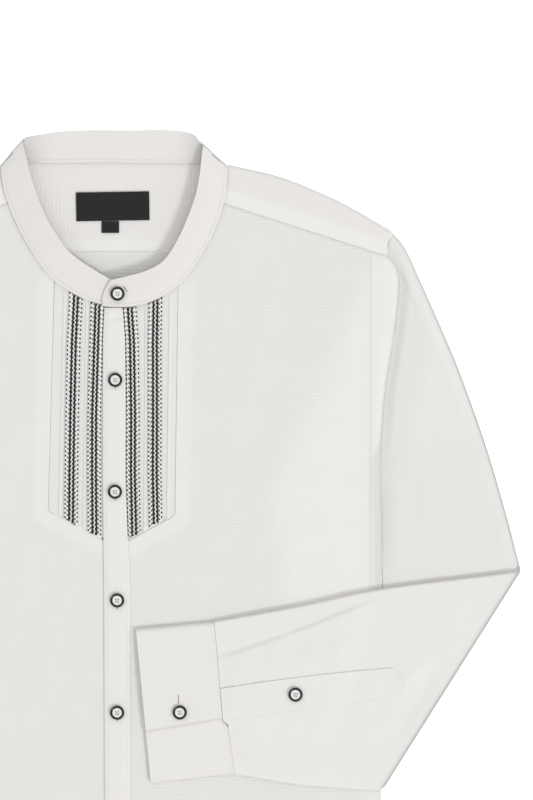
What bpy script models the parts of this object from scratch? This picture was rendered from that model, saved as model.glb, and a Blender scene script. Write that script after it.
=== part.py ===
# Long-sleeved band-collar shirt, buttoned and laid flat on its back, face up.
# One sleeve is folded at the elbow over the front; the other lies straight beside the body.
# All sizes below are in millimetres and are scaled to metres where a mesh is made.
# X points to the wearer's left, Y towards the collar, Z up from the surface that the shirt lies on.
# X = 0 is the middle of the front. In the tables and functions, Y = 0 is the seam of the collar at the
# back of the neck. The last step moves everything so that the part's own origin lies under the chest.

import math

import bmesh
import bpy
import numpy as np
from mathutils import Vector
from mathutils.bvhtree import BVHTree

MM = 0.001

# Walls and gaps
CLOTH = 1.2
COLLAR_CLOTH = 1.6
CUFF_CLOTH = 1.5
PLACKET_CLOTH = 1.4
LABEL_CLOTH = 1.0
TAPE_CLOTH = 1.0
SEAM_GAP = 0.3
UNDERLAP = 3.5

# Heights of the layers: the back lies on the surface, the front on it with a little air between
BACK_TOP = CLOTH
FRONT_LOW = 3.6
FRONT_TOP = FRONT_LOW + CLOTH
ON_FRONT = FRONT_TOP + SEAM_GAP

# The part's origin, on the surface under the middle of the chest, level with the underarms
ORIGIN_Y = -296.0

# Body
HEM_Y = -750.0
BACK_HEM_Y = -753.0
BACK_YOKE_Y = -72.0
UNDERARM_Y = -296.0
SIDE_CURL = 14.0
CURL_FROM_Y = -345.0
CURL_FADE = 40.0
CENTRE_SPLIT = 4.2

# Outer edge of the body: the armhole seam, then the side. Columns: y, x
SIDE = np.array([
    (-56.0, 227.0),
    (-66.0, 223.6),
    (-77.0, 223.2),
    (-86.0, 229.0),
    (-97.0, 231.2),
    (-115.0, 230.2),
    (-150.0, 225.8),
    (-190.0, 219.4),
    (-240.0, 216.4),
    (UNDERARM_Y, 217.0),
    (-345.0, 217.6),
    (-514.0, 217.6),
    (HEM_Y - 10.0, 220.0),
])
ARMHOLE_LEVELS = (-66.0, -77.0, -86.0, -97.0, -115.0, -150.0, -190.0, -240.0)

# Shoulder fold seen from above, from the neck to the armhole. Columns: x, y
SHOULDER = np.array([
    (94.2, -1.4),
    (134.9, -11.5),
    (173.2, -26.8),
    (198.0, -39.4),
    (226.8, -56.4),
])
FRONT_YOKE_SEAM = np.array([(88.6, -33.3), (223.2, -77.0)])

# Neck end of the yoke's folded-over part on the left, from the fold to the front seam: x, y. The right one
# starts this much farther out
YOKE_NECK_END = np.array([(94.2, -4.2), (93.2, -12.0), (89.0, -20.0), (86.0, -31.5)])
YOKE_NECK_STATIONS = (0.0, 0.3, 0.6, 1.0)
RIGHT_NECK_EXTRA = 1.9
YOKE_BEND = 1.8
YOKE_FOOT_X = 222.8
YOKE_RISE = 14.0

# Front inset with its pointed lower edge, one for each side. Sizes are distances from the middle
BIB_POINT_Y = -313.0
BIB_SLOPE = 0.543
BIB_CORNER = 3.0
LEFT_BIB_WIDTH = 48.6
RIGHT_BIB_WIDTH = 54.8
LEFT_BIB_LEAN = 2.6
RIGHT_BIB_LEAN = -5.0

# Sewn tucks of the insets: distances from the middle for each side, half width, height
LEFT_TUCKS = (24.2, 42.9)
RIGHT_TUCKS = (25.8, 45.6)
TUCK_HALF = 1.3
TUCK_HIGH = 0.6
TUCK_END = 1.4

# Button band down the front. Columns: y, left edge x, right edge x
PLACKET = np.array([
    (-118.5, -9.2, 6.1),
    (-145.0, -10.3, 8.2),
    (-194.0, -10.5, 8.6),
    (-260.0, -10.5, 8.5),
    (-309.0, -9.9, 10.4),
    (-330.0, -9.6, 11.6),
    (-358.0, -9.4, 12.0),
    (-450.0, -9.0, 12.3),
    (-522.0, -8.7, 12.6),
    (HEM_Y, -8.5, 12.8),
])

# Embroidered tapes on the insets. Columns: y, then the middle of tapes 1 to 4
TAPE_MIDDLES = np.array([
    (-112.0, -32.2, -14.4, 11.4, 33.0),
    (-147.0, -33.9, -15.6, 13.7, 32.4),
    (-207.0, -35.2, -17.3, 14.6, 32.5),
    (-254.0, -35.9, -17.4, 14.4, 32.3),
    (-310.0, -36.4, -17.0, 15.6, 33.4),
])
TAPE_HALF_WIDTH = 5.8
TAPE_ROWS = 12

# Collar band, as ribs from its seam to its upper edge: from the under end at the middle of the front,
# round the wearer's right, the back and the left to the over end. Heights are those of the wall's middle.
# Columns: seam x, y, z, upper edge x, y, z
COLLAR = np.array([
    (4.0, -117.8, 5.9, 9.0, -102.5, 6.4),
    (-12.1, -115.6, 5.9, -5.5, -94.5, 6.9),
    (-29.1, -109.7, 5.9, -18.0, -87.2, 8.2),
    (-48.8, -97.3, 5.9, -33.0, -76.8, 9.5),
    (-61.9, -82.8, 5.9, -41.5, -68.0, 10.5),
    (-77.7, -56.6, 5.9, -56.0, -44.8, 11.2),
    (-88.8, -30.3, 5.9, -65.2, -21.7, 11.6),
    (-92.2, -15.6, 5.9, -69.6, -7.0, 11.8),
    (-93.4, -6.6, 5.4, -73.6, 9.5, 11.2),
    (-93.6, -2.8, 4.1, -75.2, 17.6, 9.2),
    (-89.5, -0.5, 2.8, -71.5, 20.6, 7.2),
    (-76.0, 0.0, 2.4, -61.9, 22.8, 6.7),
    (-45.0, 0.2, 2.4, -42.2, 25.6, 7.0),
    (-16.0, 0.4, 2.4, -16.0, 26.4, 7.3),
    (14.0, 0.2, 2.4, 14.0, 26.2, 7.3),
    (44.0, -0.2, 2.4, 42.0, 26.6, 7.0),
    (74.0, -0.4, 2.4, 60.5, 24.2, 6.7),
    (87.0, -1.0, 2.8, 67.4, 18.6, 7.2),
    (91.4, -3.6, 4.1, 71.4, 13.6, 9.2),
    (91.6, -7.0, 5.4, 70.6, 6.0, 11.2),
    (91.2, -15.0, 5.9, 69.2, -8.0, 11.8),
    (89.0, -31.7, 5.9, 66.0, -25.5, 11.6),
    (81.1, -55.3, 5.9, 59.0, -45.5, 11.2),
    (69.3, -77.6, 5.9, 50.5, -64.0, 10.5),
    (54.9, -97.3, 5.9, 39.5, -80.3, 9.8),
    (36.5, -110.4, 6.1, 25.5, -88.4, 9.4),
    (18.1, -116.9, 6.9, 12.5, -92.3, 9.4),
    (3.7, -118.1, 7.8, 2.5, -94.8, 9.5),
    (-10.4, -117.5, 7.8, -3.2, -96.0, 9.2),
])
COLLAR_FRONT_RIBS_RIGHT = slice(0, 9)
COLLAR_FRONT_RIBS_LEFT = slice(19, 28)
COLLAR_RIBS = 64
COLLAR_COLUMNS = 4
COLLAR_END_BULGE = 2.6
COLLAR_END_RIBS = 4

# Sleeves, seen from above. Columns: x, y
SLEEVE_HEAD = 3.2
SLEEVE_THICK = 4.6
FOLD_GAP = 0.8
LEFT_OVERARM = np.array([
    (227.8, -57.2),
    (238.6, -71.0),
    (249.7, -95.7),
    (267.7, -136.7),
    (282.4, -172.2),
    (303.3, -230.8),
    (320.0, -287.3),
    (332.3, -334.3),
])
LEFT_UNDERARM = np.array([(218.2, UNDERARM_Y), (218.8, -345.0), (218.8, -400.0), (218.8, -514.2)])
LEFT_FOREARM_TOP = np.array([(332.3, -334.3), (217.7, -348.8), (152.1, -362.4), (81.1, -375.4)])
LEFT_FOREARM_UNDER = np.array([(218.8, -514.2), (178.3, -511.7), (143.9, -508.4), (98.3, -500.6)])
RIGHT_OVERARM = np.array([
    (227.8, -57.2),
    (241.0, -72.0),
    (257.0, -99.0),
    (281.0, -145.0),
    (322.0, -225.0),
    (369.7, -322.0),
    (428.3, -432.4),
    (487.0, -542.8),
])
RIGHT_UNDERARM = np.array([
    (218.2, UNDERARM_Y),
    (220.5, -345.0),
    (231.0, -402.0),
    (301.0, -500.0),
    (375.3, -602.1),
])
RIGHT_SLEEVE_LIFT = 4.5
UPPER_STATIONS = 10
FOLD_STEPS = 6
FOREARM_STATIONS = (0.125, 0.25, 0.375, 0.5, 0.625, 0.75, 0.87, 0.97, 1.0)
STRAIGHT_STATIONS = 15

# Pleat of the folded forearm: its height, its width, and how far across the sleeve it lies at the cuff
# and where it runs out, as shares of the sleeve's width; and the share of the forearm that it takes
PLEAT_STEP = 1.2
PLEAT_EDGE = 0.02
PLEAT_FADE = 0.5
PLEAT_AT_CUFF = 0.24
PLEAT_AT_END = 0.07
PLEAT_LENGTH = 0.62

# How far the overlapping part of the folded sleeve's cuff is set back at its edge, and that edge's place
STAGGER = 4.1
STAGGER_FROM = 0.645
STAGGER_TO = 0.675

# Cuffs. Corners of the folded one, seen from above: x, y
CUFF_DEPTH = 66.0
CUFF_WIDTH = 127.6
CUFF_FOLD = 0.9
CUFF_OVER_EDGE = -21.3
CUFF_OVER_SLANT = 4.3
CUFF_UNDER_EDGE = -2.0
CUFF_RISE = 3 * CUFF_CLOTH + 2 * SEAM_GAP
LEFT_CUFF_LOW = 5.3
LEFT_CUFF_HAND = np.array([(29.1, -508.4), (16.8, -381.3)])
LEFT_CUFF_ARM = np.array([(97.5, -500.4), (80.3, -375.6)])

# Sleeve opening bands. Corners and point of the folded sleeve's, seen from above: x, y
BAND_WIDTH = 25.0
BAND_LENGTH = 150.0
BAND_POINT = 9.0
LEFT_BAND_LOWER = np.array([(88.6, -456.1), (133.2, -449.8), (178.3, -444.4), (229.2, -435.7)])
LEFT_BAND_UPPER = np.array([(86.8, -430.5), (125.9, -424.3), (175.0, -418.2), (227.5, -413.4)])
LEFT_BAND_TIP = (236.0, -424.3)
LEFT_BAND_BUTTON = (147.5, -435.0)
LEFT_CUFF_BUTTON = (52.9, -449.8)

# Buttons
BUTTON_RADIUS = 5.85
BUTTON_HIGH = 2.4
BUTTON_SIDES = 16
BUTTON_HOLE_RADIUS = 0.7
BUTTON_HOLE_OFFSET = 1.5
BUTTON_PROFILE = np.array([(4.9, 0.0), (5.85, 0.8), (5.7, 2.0), (5.1, 2.4), (4.1, 2.2), (3.6, 1.6)])
FRONT_BUTTONS = np.array([
    (0.0, -177.9),
    (-0.2, -269.4),
    (1.6, -358.3),
    (1.6, -450.2),
    (1.8, -541.0),
    (1.9, -632.0),
])
COLLAR_BUTTON = (2.0, -107.4)

# Label and size tab inside the back of the neck
LABEL_CENTRE = (-2.2, -34.4)
LABEL_SIZE = (60.0, 23.6)
LABEL_TURN = math.radians(0.9)
TAB_CENTRE = (-4.2, -51.6)
TAB_SIZE = (15.2, 9.6)

# Materials: base colour, roughness
WHITE_WEAVE = ("white_weave", (0.80, 0.79, 0.77), 0.85)
WHITE_SMOOTH = ("white_smooth", (0.82, 0.81, 0.79), 0.8)
BLACK_WHITE_TAPE = ("embroidered_tape", (0.22, 0.22, 0.22), 0.75)
BLACK_WOVEN = ("black_woven", (0.01, 0.01, 0.012), 0.6)
BUTTON_FINISH = ("button", (0.72, 0.72, 0.7), 0.3)


def clear_scene():
    for thing in list(bpy.data.objects):
        bpy.data.objects.remove(thing)


def material(finish):
    name, colour, roughness = finish
    found = bpy.data.materials.get(name)
    if found:
        return found
    made = bpy.data.materials.new(name)
    made.use_nodes = True
    shader = made.node_tree.nodes["Principled BSDF"]
    shader.inputs["Base Color"].default_value = (*colour, 1.0)
    shader.inputs["Roughness"].default_value = roughness
    shader.inputs["Metallic"].default_value = 0.0
    return made


def ease(t):
    """0 below 0, 1 above 1, and a smooth rise between."""
    t = min(1.0, max(0.0, t))
    return t * t * (3.0 - 2.0 * t)


def unit(vector):
    vector = np.asarray(vector, float)
    return vector / np.linalg.norm(vector)


def along(points, count):
    """That many points, evenly spaced by length, on the smooth curve through the given ones."""
    points = np.asarray(points, float)
    padded = np.vstack([2 * points[0] - points[1], points, 2 * points[-1] - points[-2]])
    fine = []
    steps = 12
    for i in range(1, len(padded) - 2):
        a, b, c, d = padded[i - 1:i + 3]
        for k in range(steps):
            t = k / steps
            fine.append(0.5 * (2 * b + (c - a) * t + (2 * a - 5 * b + 4 * c - d) * t ** 2
                               + (3 * b - a - 3 * c + d) * t ** 3))
    fine.append(points[-1])
    fine = np.array(fine)
    length = np.concatenate([[0.0], np.cumsum(np.linalg.norm(np.diff(fine, axis=0), axis=1))])
    wanted = np.linspace(0.0, length[-1], count)
    return np.stack([np.interp(wanted, length, fine[:, k]) for k in range(fine.shape[1])], axis=1)


def side_x(y):
    """Distance of the body's outer edge from the middle."""
    return float(np.interp(-y, -SIDE[:, 0], SIDE[:, 1]))


def placket_edges(y):
    return (float(np.interp(-y, -PLACKET[:, 0], PLACKET[:, 1])),
            float(np.interp(-y, -PLACKET[:, 0], PLACKET[:, 2])))


def neck_seam(side):
    """The collar's seam on one front: points, and the unit direction from each to the upper edge."""
    ribs = COLLAR[COLLAR_FRONT_RIBS_LEFT if side > 0 else COLLAR_FRONT_RIBS_RIGHT]
    if side > 0:
        ribs = ribs[::-1]
    fine = along(ribs[:, (0, 1, 3, 4)], 40)
    toward = fine[:, 2:] - fine[:, :2]
    return fine[:, :2], toward / np.linalg.norm(toward, axis=1)[:, None]


def neck_y(x):
    """Height of the collar's seam on the front at this x."""
    points, _ = neck_seam(1 if x > 0 else -1)
    order = np.argsort(points[:, 0])
    return float(np.interp(x, points[order, 0], points[order, 1]))


def bib_edge_y(distance):
    """Lower, slanted edge of the inset at this distance from the middle."""
    return BIB_POINT_Y + BIB_SLOPE * (distance - CENTRE_SPLIT)


def front_low(x, y):
    """Underside of the front panels: level, and curling down to the back along the sides."""
    drop = FRONT_LOW - (BACK_TOP + SEAM_GAP)
    inside = (side_x(y) - abs(x)) / SIDE_CURL
    return FRONT_LOW - drop * (1.0 - ease(inside)) * ease((CURL_FROM_Y - y) / CURL_FADE)


def add_solid(name, points, faces, finish, smooth_angle=50.0):
    """A named object from points in millimetres, with its faces turned outwards."""
    mesh = bpy.data.meshes.new(name)
    shape = bmesh.new()
    corners = [shape.verts.new(np.asarray(p, float) * MM) for p in points]
    for face in faces:
        shape.faces.new([corners[i] for i in face])
    bmesh.ops.recalc_face_normals(shape, faces=shape.faces)
    shape.to_mesh(mesh)
    shape.free()
    mesh.shade_smooth()
    mesh.set_sharp_from_angle(angle=math.radians(smooth_angle))
    mesh.materials.append(material(finish))
    made = bpy.data.objects.new(name, mesh)
    bpy.context.scene.collection.objects.link(made)
    return made


def grid_faces(rows, columns, start=0, closed=False):
    """Quads of a grid of points that is stored row by row; a closed one joins its last column to its first."""
    wide = columns if closed else columns - 1
    return [
        (start + i * columns + j, start + i * columns + (j + 1) % columns,
         start + (i + 1) * columns + (j + 1) % columns, start + (i + 1) * columns + j)
        for i in range(rows - 1) for j in range(wide)
    ]


def add_wall(name, low, high, finish):
    """A closed wall between two grids of the same size."""
    rows, columns = low.shape[:2]
    count = rows * columns
    faces = grid_faces(rows, columns) + grid_faces(rows, columns, count)
    border = (
        [(0, j) for j in range(columns)] + [(i, columns - 1) for i in range(1, rows)]
        + [(rows - 1, j) for j in range(columns - 2, -1, -1)] + [(i, 0) for i in range(rows - 2, 0, -1)]
    )
    ring = [i * columns + j for i, j in border]
    for a, b in zip(ring, ring[1:] + ring[:1]):
        faces.append((a, b, b + count, a + count))
    points = np.vstack([low.reshape(-1, 3), high.reshape(-1, 3)])
    return add_solid(name, points, faces, finish)


def add_panel(name, rows, columns, low, thickness, finish):
    """A flat-lying wall. Each row runs straight from its left to its right point."""
    grid = np.zeros((len(rows), columns, 3))
    for i, (left, right) in enumerate(rows):
        for j in range(columns):
            x, y = np.asarray(left) + (np.asarray(right) - left) * j / (columns - 1)
            grid[i, j] = (x, y, low(x, y))
    return add_wall(name, grid, grid + (0.0, 0.0, thickness), finish)


def add_tube(name, outer, inner, finish):
    """An open-ended tube from rings of points: its outer skin, its inner skin and the two rims."""
    rings, around = outer.shape[:2]
    count = rings * around
    faces = grid_faces(rings, around, closed=True) + grid_faces(rings, around, count, closed=True)
    for i in (0, rings - 1):
        for j in range(around):
            a, b = i * around + j, i * around + (j + 1) % around
            faces.append((a, b, b + count, a + count))
    return add_solid(name, np.vstack([outer.reshape(-1, 3), inner.reshape(-1, 3)]), faces, finish)


def build_back():
    levels = [BACK_HEM_Y, -700, -620, -540, -460, -380, -330, UNDERARM_Y]
    levels += [y for y in reversed(ARMHOLE_LEVELS) if y < BACK_YOKE_Y] + [BACK_YOKE_Y - SEAM_GAP]
    rows = [((-side_x(y), y), (side_x(y), y)) for y in levels]
    add_panel("back", rows, 9, lambda x, y: 0.0, CLOTH, WHITE_WEAVE)


def bib_outline(side):
    """Lower corner, turned corner and upper end of an inset's outer edge, as distances from the middle."""
    width = LEFT_BIB_WIDTH if side > 0 else RIGHT_BIB_WIDTH
    lean = LEFT_BIB_LEAN if side > 0 else RIGHT_BIB_LEAN
    corner_y = bib_edge_y(width - BIB_CORNER)
    upper = width + lean
    return (width - BIB_CORNER, corner_y), (width, corner_y + BIB_CORNER), (upper, neck_y(side * upper))


def centre_edge(side):
    """Where a front's inner edge lies under the button band."""
    return CENTRE_SPLIT + side * SEAM_GAP / 2


def build_bib(side, name):
    """The tucked inset of one front, whose upper end lies under the collar."""
    inner = centre_edge(side)
    lower, turned, upper = bib_outline(side)
    bottom_y = bib_edge_y(abs(inner)) if side > 0 else bib_edge_y(CENTRE_SPLIT)
    count = 11
    tucks = LEFT_TUCKS if side > 0 else RIGHT_TUCKS
    width = abs(side * turned[0] - inner)
    places = [0.0, 0.5 * (tucks[0] / width), 1.0]
    lifts = [0.0, 0.0, 0.0]
    for tuck in tucks:
        from_inner = tuck - side * inner
        places += [(from_inner + k * TUCK_HALF) / width for k in (-1, 0, 1)]
        lifts += [0.0, TUCK_HIGH, 0.0]
    middle = (tucks[0] + tucks[1]) / 2 - side * inner
    places.append(middle / width)
    lifts.append(0.0)
    order = np.argsort(places)
    places = np.array(places)[order]
    lifts = np.array(lifts)[order]
    columns = len(places)
    outer_path = [np.array((side * lower[0], lower[1]))]
    outer_path += [np.array((side * (turned[0] + (upper[0] - turned[0]) * t),
                             turned[1] + (upper[1] - TUCK_END - turned[1]) * t))
                   for t in np.linspace(0.0, 1.0, count - 1)]
    reach = outer_path[-1][1] - outer_path[0][1]
    rises = [(place[1] - outer_path[0][1]) / reach for place in outer_path]
    grid = np.zeros((count + 2, columns, 3))
    for j, share in enumerate(places):
        for i in range(count + 2):
            x = inner + (outer_path[min(i, count - 1)][0] - inner) * share
            low_y = bottom_y + (lower[1] - bottom_y) * share
            foot = max(low_y, bib_edge_y(abs(x)) if side * x > 0 else bottom_y)
            top = neck_y(x) - TUCK_END
            y = foot + (top - foot) * rises[i] if i < count else top + (0.9, TUCK_END + UNDERLAP)[i - count]
            grid[i, j] = (x, y, FRONT_LOW)
    high = grid + (0.0, 0.0, CLOTH)
    high[:count, :, 2] += lifts[None, :]
    return add_wall(name, grid, high, WHITE_SMOOTH)


def build_front(side, name):
    """A front panel, cut out round the inset, from the hem to the yoke seam."""
    inner = centre_edge(side)
    lower, turned, upper = bib_outline(side)
    gap = SEAM_GAP + 0.1
    bottom_y = bib_edge_y(CENTRE_SPLIT) - gap
    inside = [(inner, y) for y in np.linspace(HEM_Y, bottom_y, 8)]
    inside += [(side * lower[0] * 0.5 + inner * 0.5, (lower[1] + bottom_y - gap) / 2)]
    inside += [(side * (lower[0] + gap * 0.5), lower[1] - gap), (side * (turned[0] + gap), turned[1] - gap * 0.5)]
    up_y = upper[1] - TUCK_END
    inside += [(side * (turned[0] + gap + (upper[0] - turned[0]) * t), turned[1] + (up_y - turned[1]) * t)
               for t in (0.25, 0.5, 0.75)]
    seam, toward = neck_seam(side)
    under = seam + toward * UNDERLAP
    corner_x = upper[0] + gap
    start = int(np.argmax(np.abs(under[:, 0]) > corner_x))
    corner_y = np.interp(corner_x, np.abs(under[start - 1:start + 1, 0]), under[start - 1:start + 1, 1])
    neck = under[start:]
    neck = neck[neck[:, 1] < FRONT_YOKE_SEAM[0, 1] - 3.0]
    neck = np.vstack([(side * corner_x, corner_y), neck])
    neck = np.vstack([neck, (side * (FRONT_YOKE_SEAM[0, 0] - UNDERLAP), FRONT_YOKE_SEAM[0, 1] + 0.9)])
    inside += [tuple(p) for p in along(neck, 6)]
    levels = list(np.linspace(HEM_Y, -380.0, 7)) + [-345.0, UNDERARM_Y - 24.0, UNDERARM_Y]
    levels += [y for y in reversed(ARMHOLE_LEVELS) if y < -77.0]
    levels = levels[:10] + [-268.0] + levels[10:11] + [-215.0] + levels[11:]
    top = FRONT_YOKE_SEAM[1] - (0.0, SEAM_GAP + 0.3)
    while len(levels) < len(inside) - 1:
        wide = max(range(10, len(levels) - 1), key=lambda i: levels[i + 1] - levels[i])
        levels.insert(wide + 1, (levels[wide] + levels[wide + 1]) / 2)
    outside = [(side * side_x(y), y) for y in levels[:len(inside) - 1]] + [(side * top[0], top[1])]
    rows = list(zip(inside, outside))
    if side < 0:
        rows = [(b, a) for a, b in rows]
    fractions = np.array([0.0, 0.12, 0.26, 0.42, 0.58, 0.74, 0.86, 0.95, 1.0])
    if side < 0:
        fractions = 1.0 - fractions[::-1]
    grid = np.zeros((len(rows), len(fractions), 3))
    for i, (a, b) in enumerate(rows):
        for j, t in enumerate(fractions):
            x, y = np.asarray(a) + (np.asarray(b) - a) * t
            grid[i, j] = (x, y, front_low(x, y))
    return add_wall(name, grid, grid + (0.0, 0.0, CLOTH), WHITE_WEAVE)


def build_placket():
    levels = list(np.linspace(HEM_Y, -340.0, 8)) + [-326.0, -309.0, -260.0, -194.0, -145.0, -118.5]
    rows = [((placket_edges(y)[0], y), (placket_edges(y)[1], y)) for y in levels]
    add_panel("placket", rows, 3, lambda x, y: ON_FRONT, PLACKET_CLOTH, WHITE_SMOOTH)


def build_tapes():
    """Four embroidered tapes from the collar's seam to the slanted lower edge of the insets."""
    for k in range(4):
        column = TAPE_MIDDLES[:, k + 1]
        rows = []
        for i in range(TAPE_ROWS):
            ends = []
            for edge in (-1, 1):
                near = float(column[0]) + edge * TAPE_HALF_WIDTH
                far = float(column[-1]) + edge * TAPE_HALF_WIDTH
                upper = neck_y(near) - SEAM_GAP - 0.4
                lower = bib_edge_y(abs(far)) + 1.0
                y = lower + (upper - lower) * i / (TAPE_ROWS - 1)
                x = float(np.interp(-y, -TAPE_MIDDLES[:, 0], column)) + edge * TAPE_HALF_WIDTH
                left, right = placket_edges(y)
                x = min(x, left - SEAM_GAP - 0.3) if k < 2 else max(x, right + SEAM_GAP + 0.3)
                ends.append((x, y))
            rows.append(tuple(ends))
        add_panel(f"tape_{k + 1}", rows, 3, lambda x, y: ON_FRONT, TAPE_CLOTH, BLACK_WHITE_TAPE)


def build_yoke():
    """One piece: flat behind the neck, folded over at both shoulders and down to the front seams."""
    low, high, turn_z = CLOTH / 2, FRONT_LOW + CLOTH / 2, (FRONT_LOW + CLOTH) / 2
    bottom_rows, bend_rows, top_rows, shoulder_columns, centre_columns = 4, 4, 4, 9, 9
    points, faces = [], []

    def neck_end(t, extra):
        place = [np.interp(t, YOKE_NECK_STATIONS, YOKE_NECK_END[:, k]) for k in range(2)]
        return np.array(place) + (extra * (1.0 - t), 0.0)

    def shoulder_grid(side):
        extra = RIGHT_NECK_EXTRA if side < 0 else 0.0
        fold = SHOULDER.copy()
        fold[0, 0] += extra
        outline = along(fold, shoulder_columns)
        grid = []
        for u in range(shoulder_columns):
            share = u / (shoulder_columns - 1)
            edge = outline[u]
            step = unit(outline[min(u + 1, shoulder_columns - 1)] - outline[max(u - 1, 0)])
            outward = np.array((-step[1], step[0]))
            centre = edge - outward * (YOKE_BEND + CLOTH / 2)
            if share == 1.0:
                centre[0] = min(centre[0], side_x(centre[1]))
            foot = np.array((fold[0, 0] + (YOKE_FOOT_X - fold[0, 0]) * share, BACK_YOKE_Y))
            column = [(*(foot + (centre - foot) * i / (bottom_rows - 1)), low) for i in range(bottom_rows)]
            for i in range(1, bend_rows):
                turn = math.pi * i / bend_rows
                column.append((*(centre + outward * YOKE_BEND * math.sin(turn)),
                               turn_z - YOKE_BEND * math.cos(turn)))
            seam = FRONT_YOKE_SEAM[0] + (FRONT_YOKE_SEAM[1] - FRONT_YOKE_SEAM[0]) * share
            for i in range(top_rows):
                t = i / (top_rows - 1)
                place = centre + (seam - centre) * t
                if i > 0:
                    straight = outline[0] + (FRONT_YOKE_SEAM[0] - outline[0]) * t
                    place = place + (neck_end(t, extra) - straight) * (1.0 - share) ** 6
                if share == 1.0:
                    place[0] = side_x(place[1])
                column.append((*place, high))
            grid.append([np.array((side * p[0], p[1], p[2])) for p in column])
        return np.array(grid)

    def add_grid(grid):
        start = len(points)
        points.extend(grid.reshape(-1, 3))
        faces.extend(grid_faces(grid.shape[0], grid.shape[1], start))

    left, right = shoulder_grid(1), shoulder_grid(-1)
    add_grid(left)
    add_grid(right)
    centre = np.zeros((centre_columns, bottom_rows, 3))
    for j, x in enumerate(np.linspace(right[0, 0, 0], left[0, 0, 0], centre_columns)):
        end_y = left[0, bottom_rows - 1, 1]
        top_y = end_y + (UNDERLAP - end_y) * ease((left[0, 0, 0] - abs(x)) / YOKE_RISE)
        for i in range(bottom_rows):
            y = BACK_YOKE_Y + (top_y - BACK_YOKE_Y) * i / (bottom_rows - 1)
            centre[j, i] = (x, y, low)
    centre[0] = right[0, :bottom_rows]
    centre[-1] = left[0, :bottom_rows]
    add_grid(centre)
    made = add_solid("yoke", points, faces, WHITE_SMOOTH)
    shape = bmesh.new()
    shape.from_mesh(made.data)
    bmesh.ops.remove_doubles(shape, verts=shape.verts, dist=0.01 * MM)
    bmesh.ops.recalc_face_normals(shape, faces=shape.faces)
    shape.to_mesh(made.data)
    shape.free()
    wall = made.modifiers.new("wall", "SOLIDIFY")
    wall.thickness = CLOTH * MM
    wall.offset = 0.0
    wall.use_even_offset = True
    wall.use_rim = True
    return made


def build_collar():
    ribs = along(COLLAR, COLLAR_RIBS)
    middle = np.zeros((COLLAR_RIBS, COLLAR_COLUMNS, 3))
    for j in range(COLLAR_COLUMNS):
        share = j / (COLLAR_COLUMNS - 1)
        middle[:, j] = ribs[:, :3] + (ribs[:, 3:] - ribs[:, :3]) * share
        for k in range(COLLAR_END_RIBS):
            push = COLLAR_END_BULGE * math.sin(math.pi * share) * (1.0 - k / COLLAR_END_RIBS)
            middle[k, j, 0] += push
            middle[-1 - k, j, 0] -= push
    along_band = np.gradient(middle, axis=0)
    across_band = np.gradient(middle, axis=1)
    normal = np.cross(along_band, across_band)
    normal /= np.linalg.norm(normal, axis=2)[:, :, None]
    half = COLLAR_CLOTH / 2
    return add_wall("collar", middle - normal * half, middle + normal * half, WHITE_SMOOTH)


def armhole_shares():
    """How far down the armhole each of its levels lies, from 0 at the shoulder to 1 at the underarm."""
    top = LEFT_OVERARM[0, 1]
    return [(top - y) / (top - UNDERARM_Y) for y in ARMHOLE_LEVELS]


def armhole_offset(share):
    """How far the armhole seam departs from the straight line between its ends."""
    start, end = LEFT_OVERARM[0], LEFT_UNDERARM[0]
    straight = start + (end - start) * share
    return np.array((side_x(straight[1]) + SEAM_GAP + 0.5 - straight[0], 0.0))


def still(share):
    return np.zeros(3)


def lift(height):
    """A shift of one face of a ring, straight up by a height that depends on the place across it."""
    return lambda share: np.array((0.0, 0.0, height(share)))


def ring(place, normal, thickness, front_shift=still, back_shift=still, shares=None):
    """Outer and inner points of one flattened ring. place(share) is a point of its middle line. Its front
    face lies along the normal, its back face against it; each shift moves the points of one face."""
    shares = armhole_shares() if shares is None else shares
    start, end = place(0.0), place(1.0)
    width = np.linalg.norm(end - start)
    radius = thickness / 2
    near, far = radius / width, 1.0 - radius / width
    shares = [near] + [min(far, max(near, s)) for s in shares] + [far]
    first, last = place(near), place(far)
    into = unit(first - place(near * 3))
    out = unit(last - place(1 - near * 3))

    def skin(inset):
        reach = radius - inset
        points = [place(s) + normal * reach + front_shift(s) for s in shares]
        for turn in (0.25, 0.5, 0.75):
            angle = math.pi * turn
            points.append(last + reach * (out * math.sin(angle) + normal * math.cos(angle)))
        points += [place(s) - normal * reach + back_shift(s) for s in reversed(shares)]
        for turn in (0.25, 0.5, 0.75):
            angle = math.pi * turn
            points.append(first + reach * (into * math.sin(angle) - normal * math.cos(angle)))
        return points

    return skin(0.0), skin(CLOTH)


def flat_place(over, under, height, bend=0.0):
    """Middle line of a ring that lies level; bend is how much of the armhole's curve it still has."""
    def place(share):
        x, y = over + (under - over) * share
        if bend:
            offset = armhole_offset(share) * bend
            x, y = x + offset[0], y + offset[1]
        return np.array((x, y, height))
    return place


def swelling(share):
    """0 at both edges of a sleeve and 1 at its middle."""
    return math.sin(math.pi * min(1.0, max(0.0, share)))


def before_fold(corner, neighbour, outward, depth):
    """The point on the edge from corner to neighbour that lies this deep inside the fold line."""
    direction = unit(neighbour - corner)
    return corner - direction * depth / float(direction @ outward)


def pleat_shares(t):
    """Places of the forearm's points across it: two of them follow the pleat, two the cuff's overlap."""
    begin = np.array(armhole_shares())
    done = max(0.0, t - 1.0 + PLEAT_LENGTH) / PLEAT_LENGTH
    line = PLEAT_AT_END + (PLEAT_AT_CUFF - PLEAT_AT_END) * done
    rest = line + PLEAT_EDGE
    later = [rest + (STAGGER_FROM - rest) * k for k in (0.33, 0.66)]
    finish = np.array([line * 0.35, line * 0.7, line, rest, *later, STAGGER_FROM, STAGGER_TO])
    return list(begin + (finish - begin) * ease(t / (1.0 - PLEAT_LENGTH))), line


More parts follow.
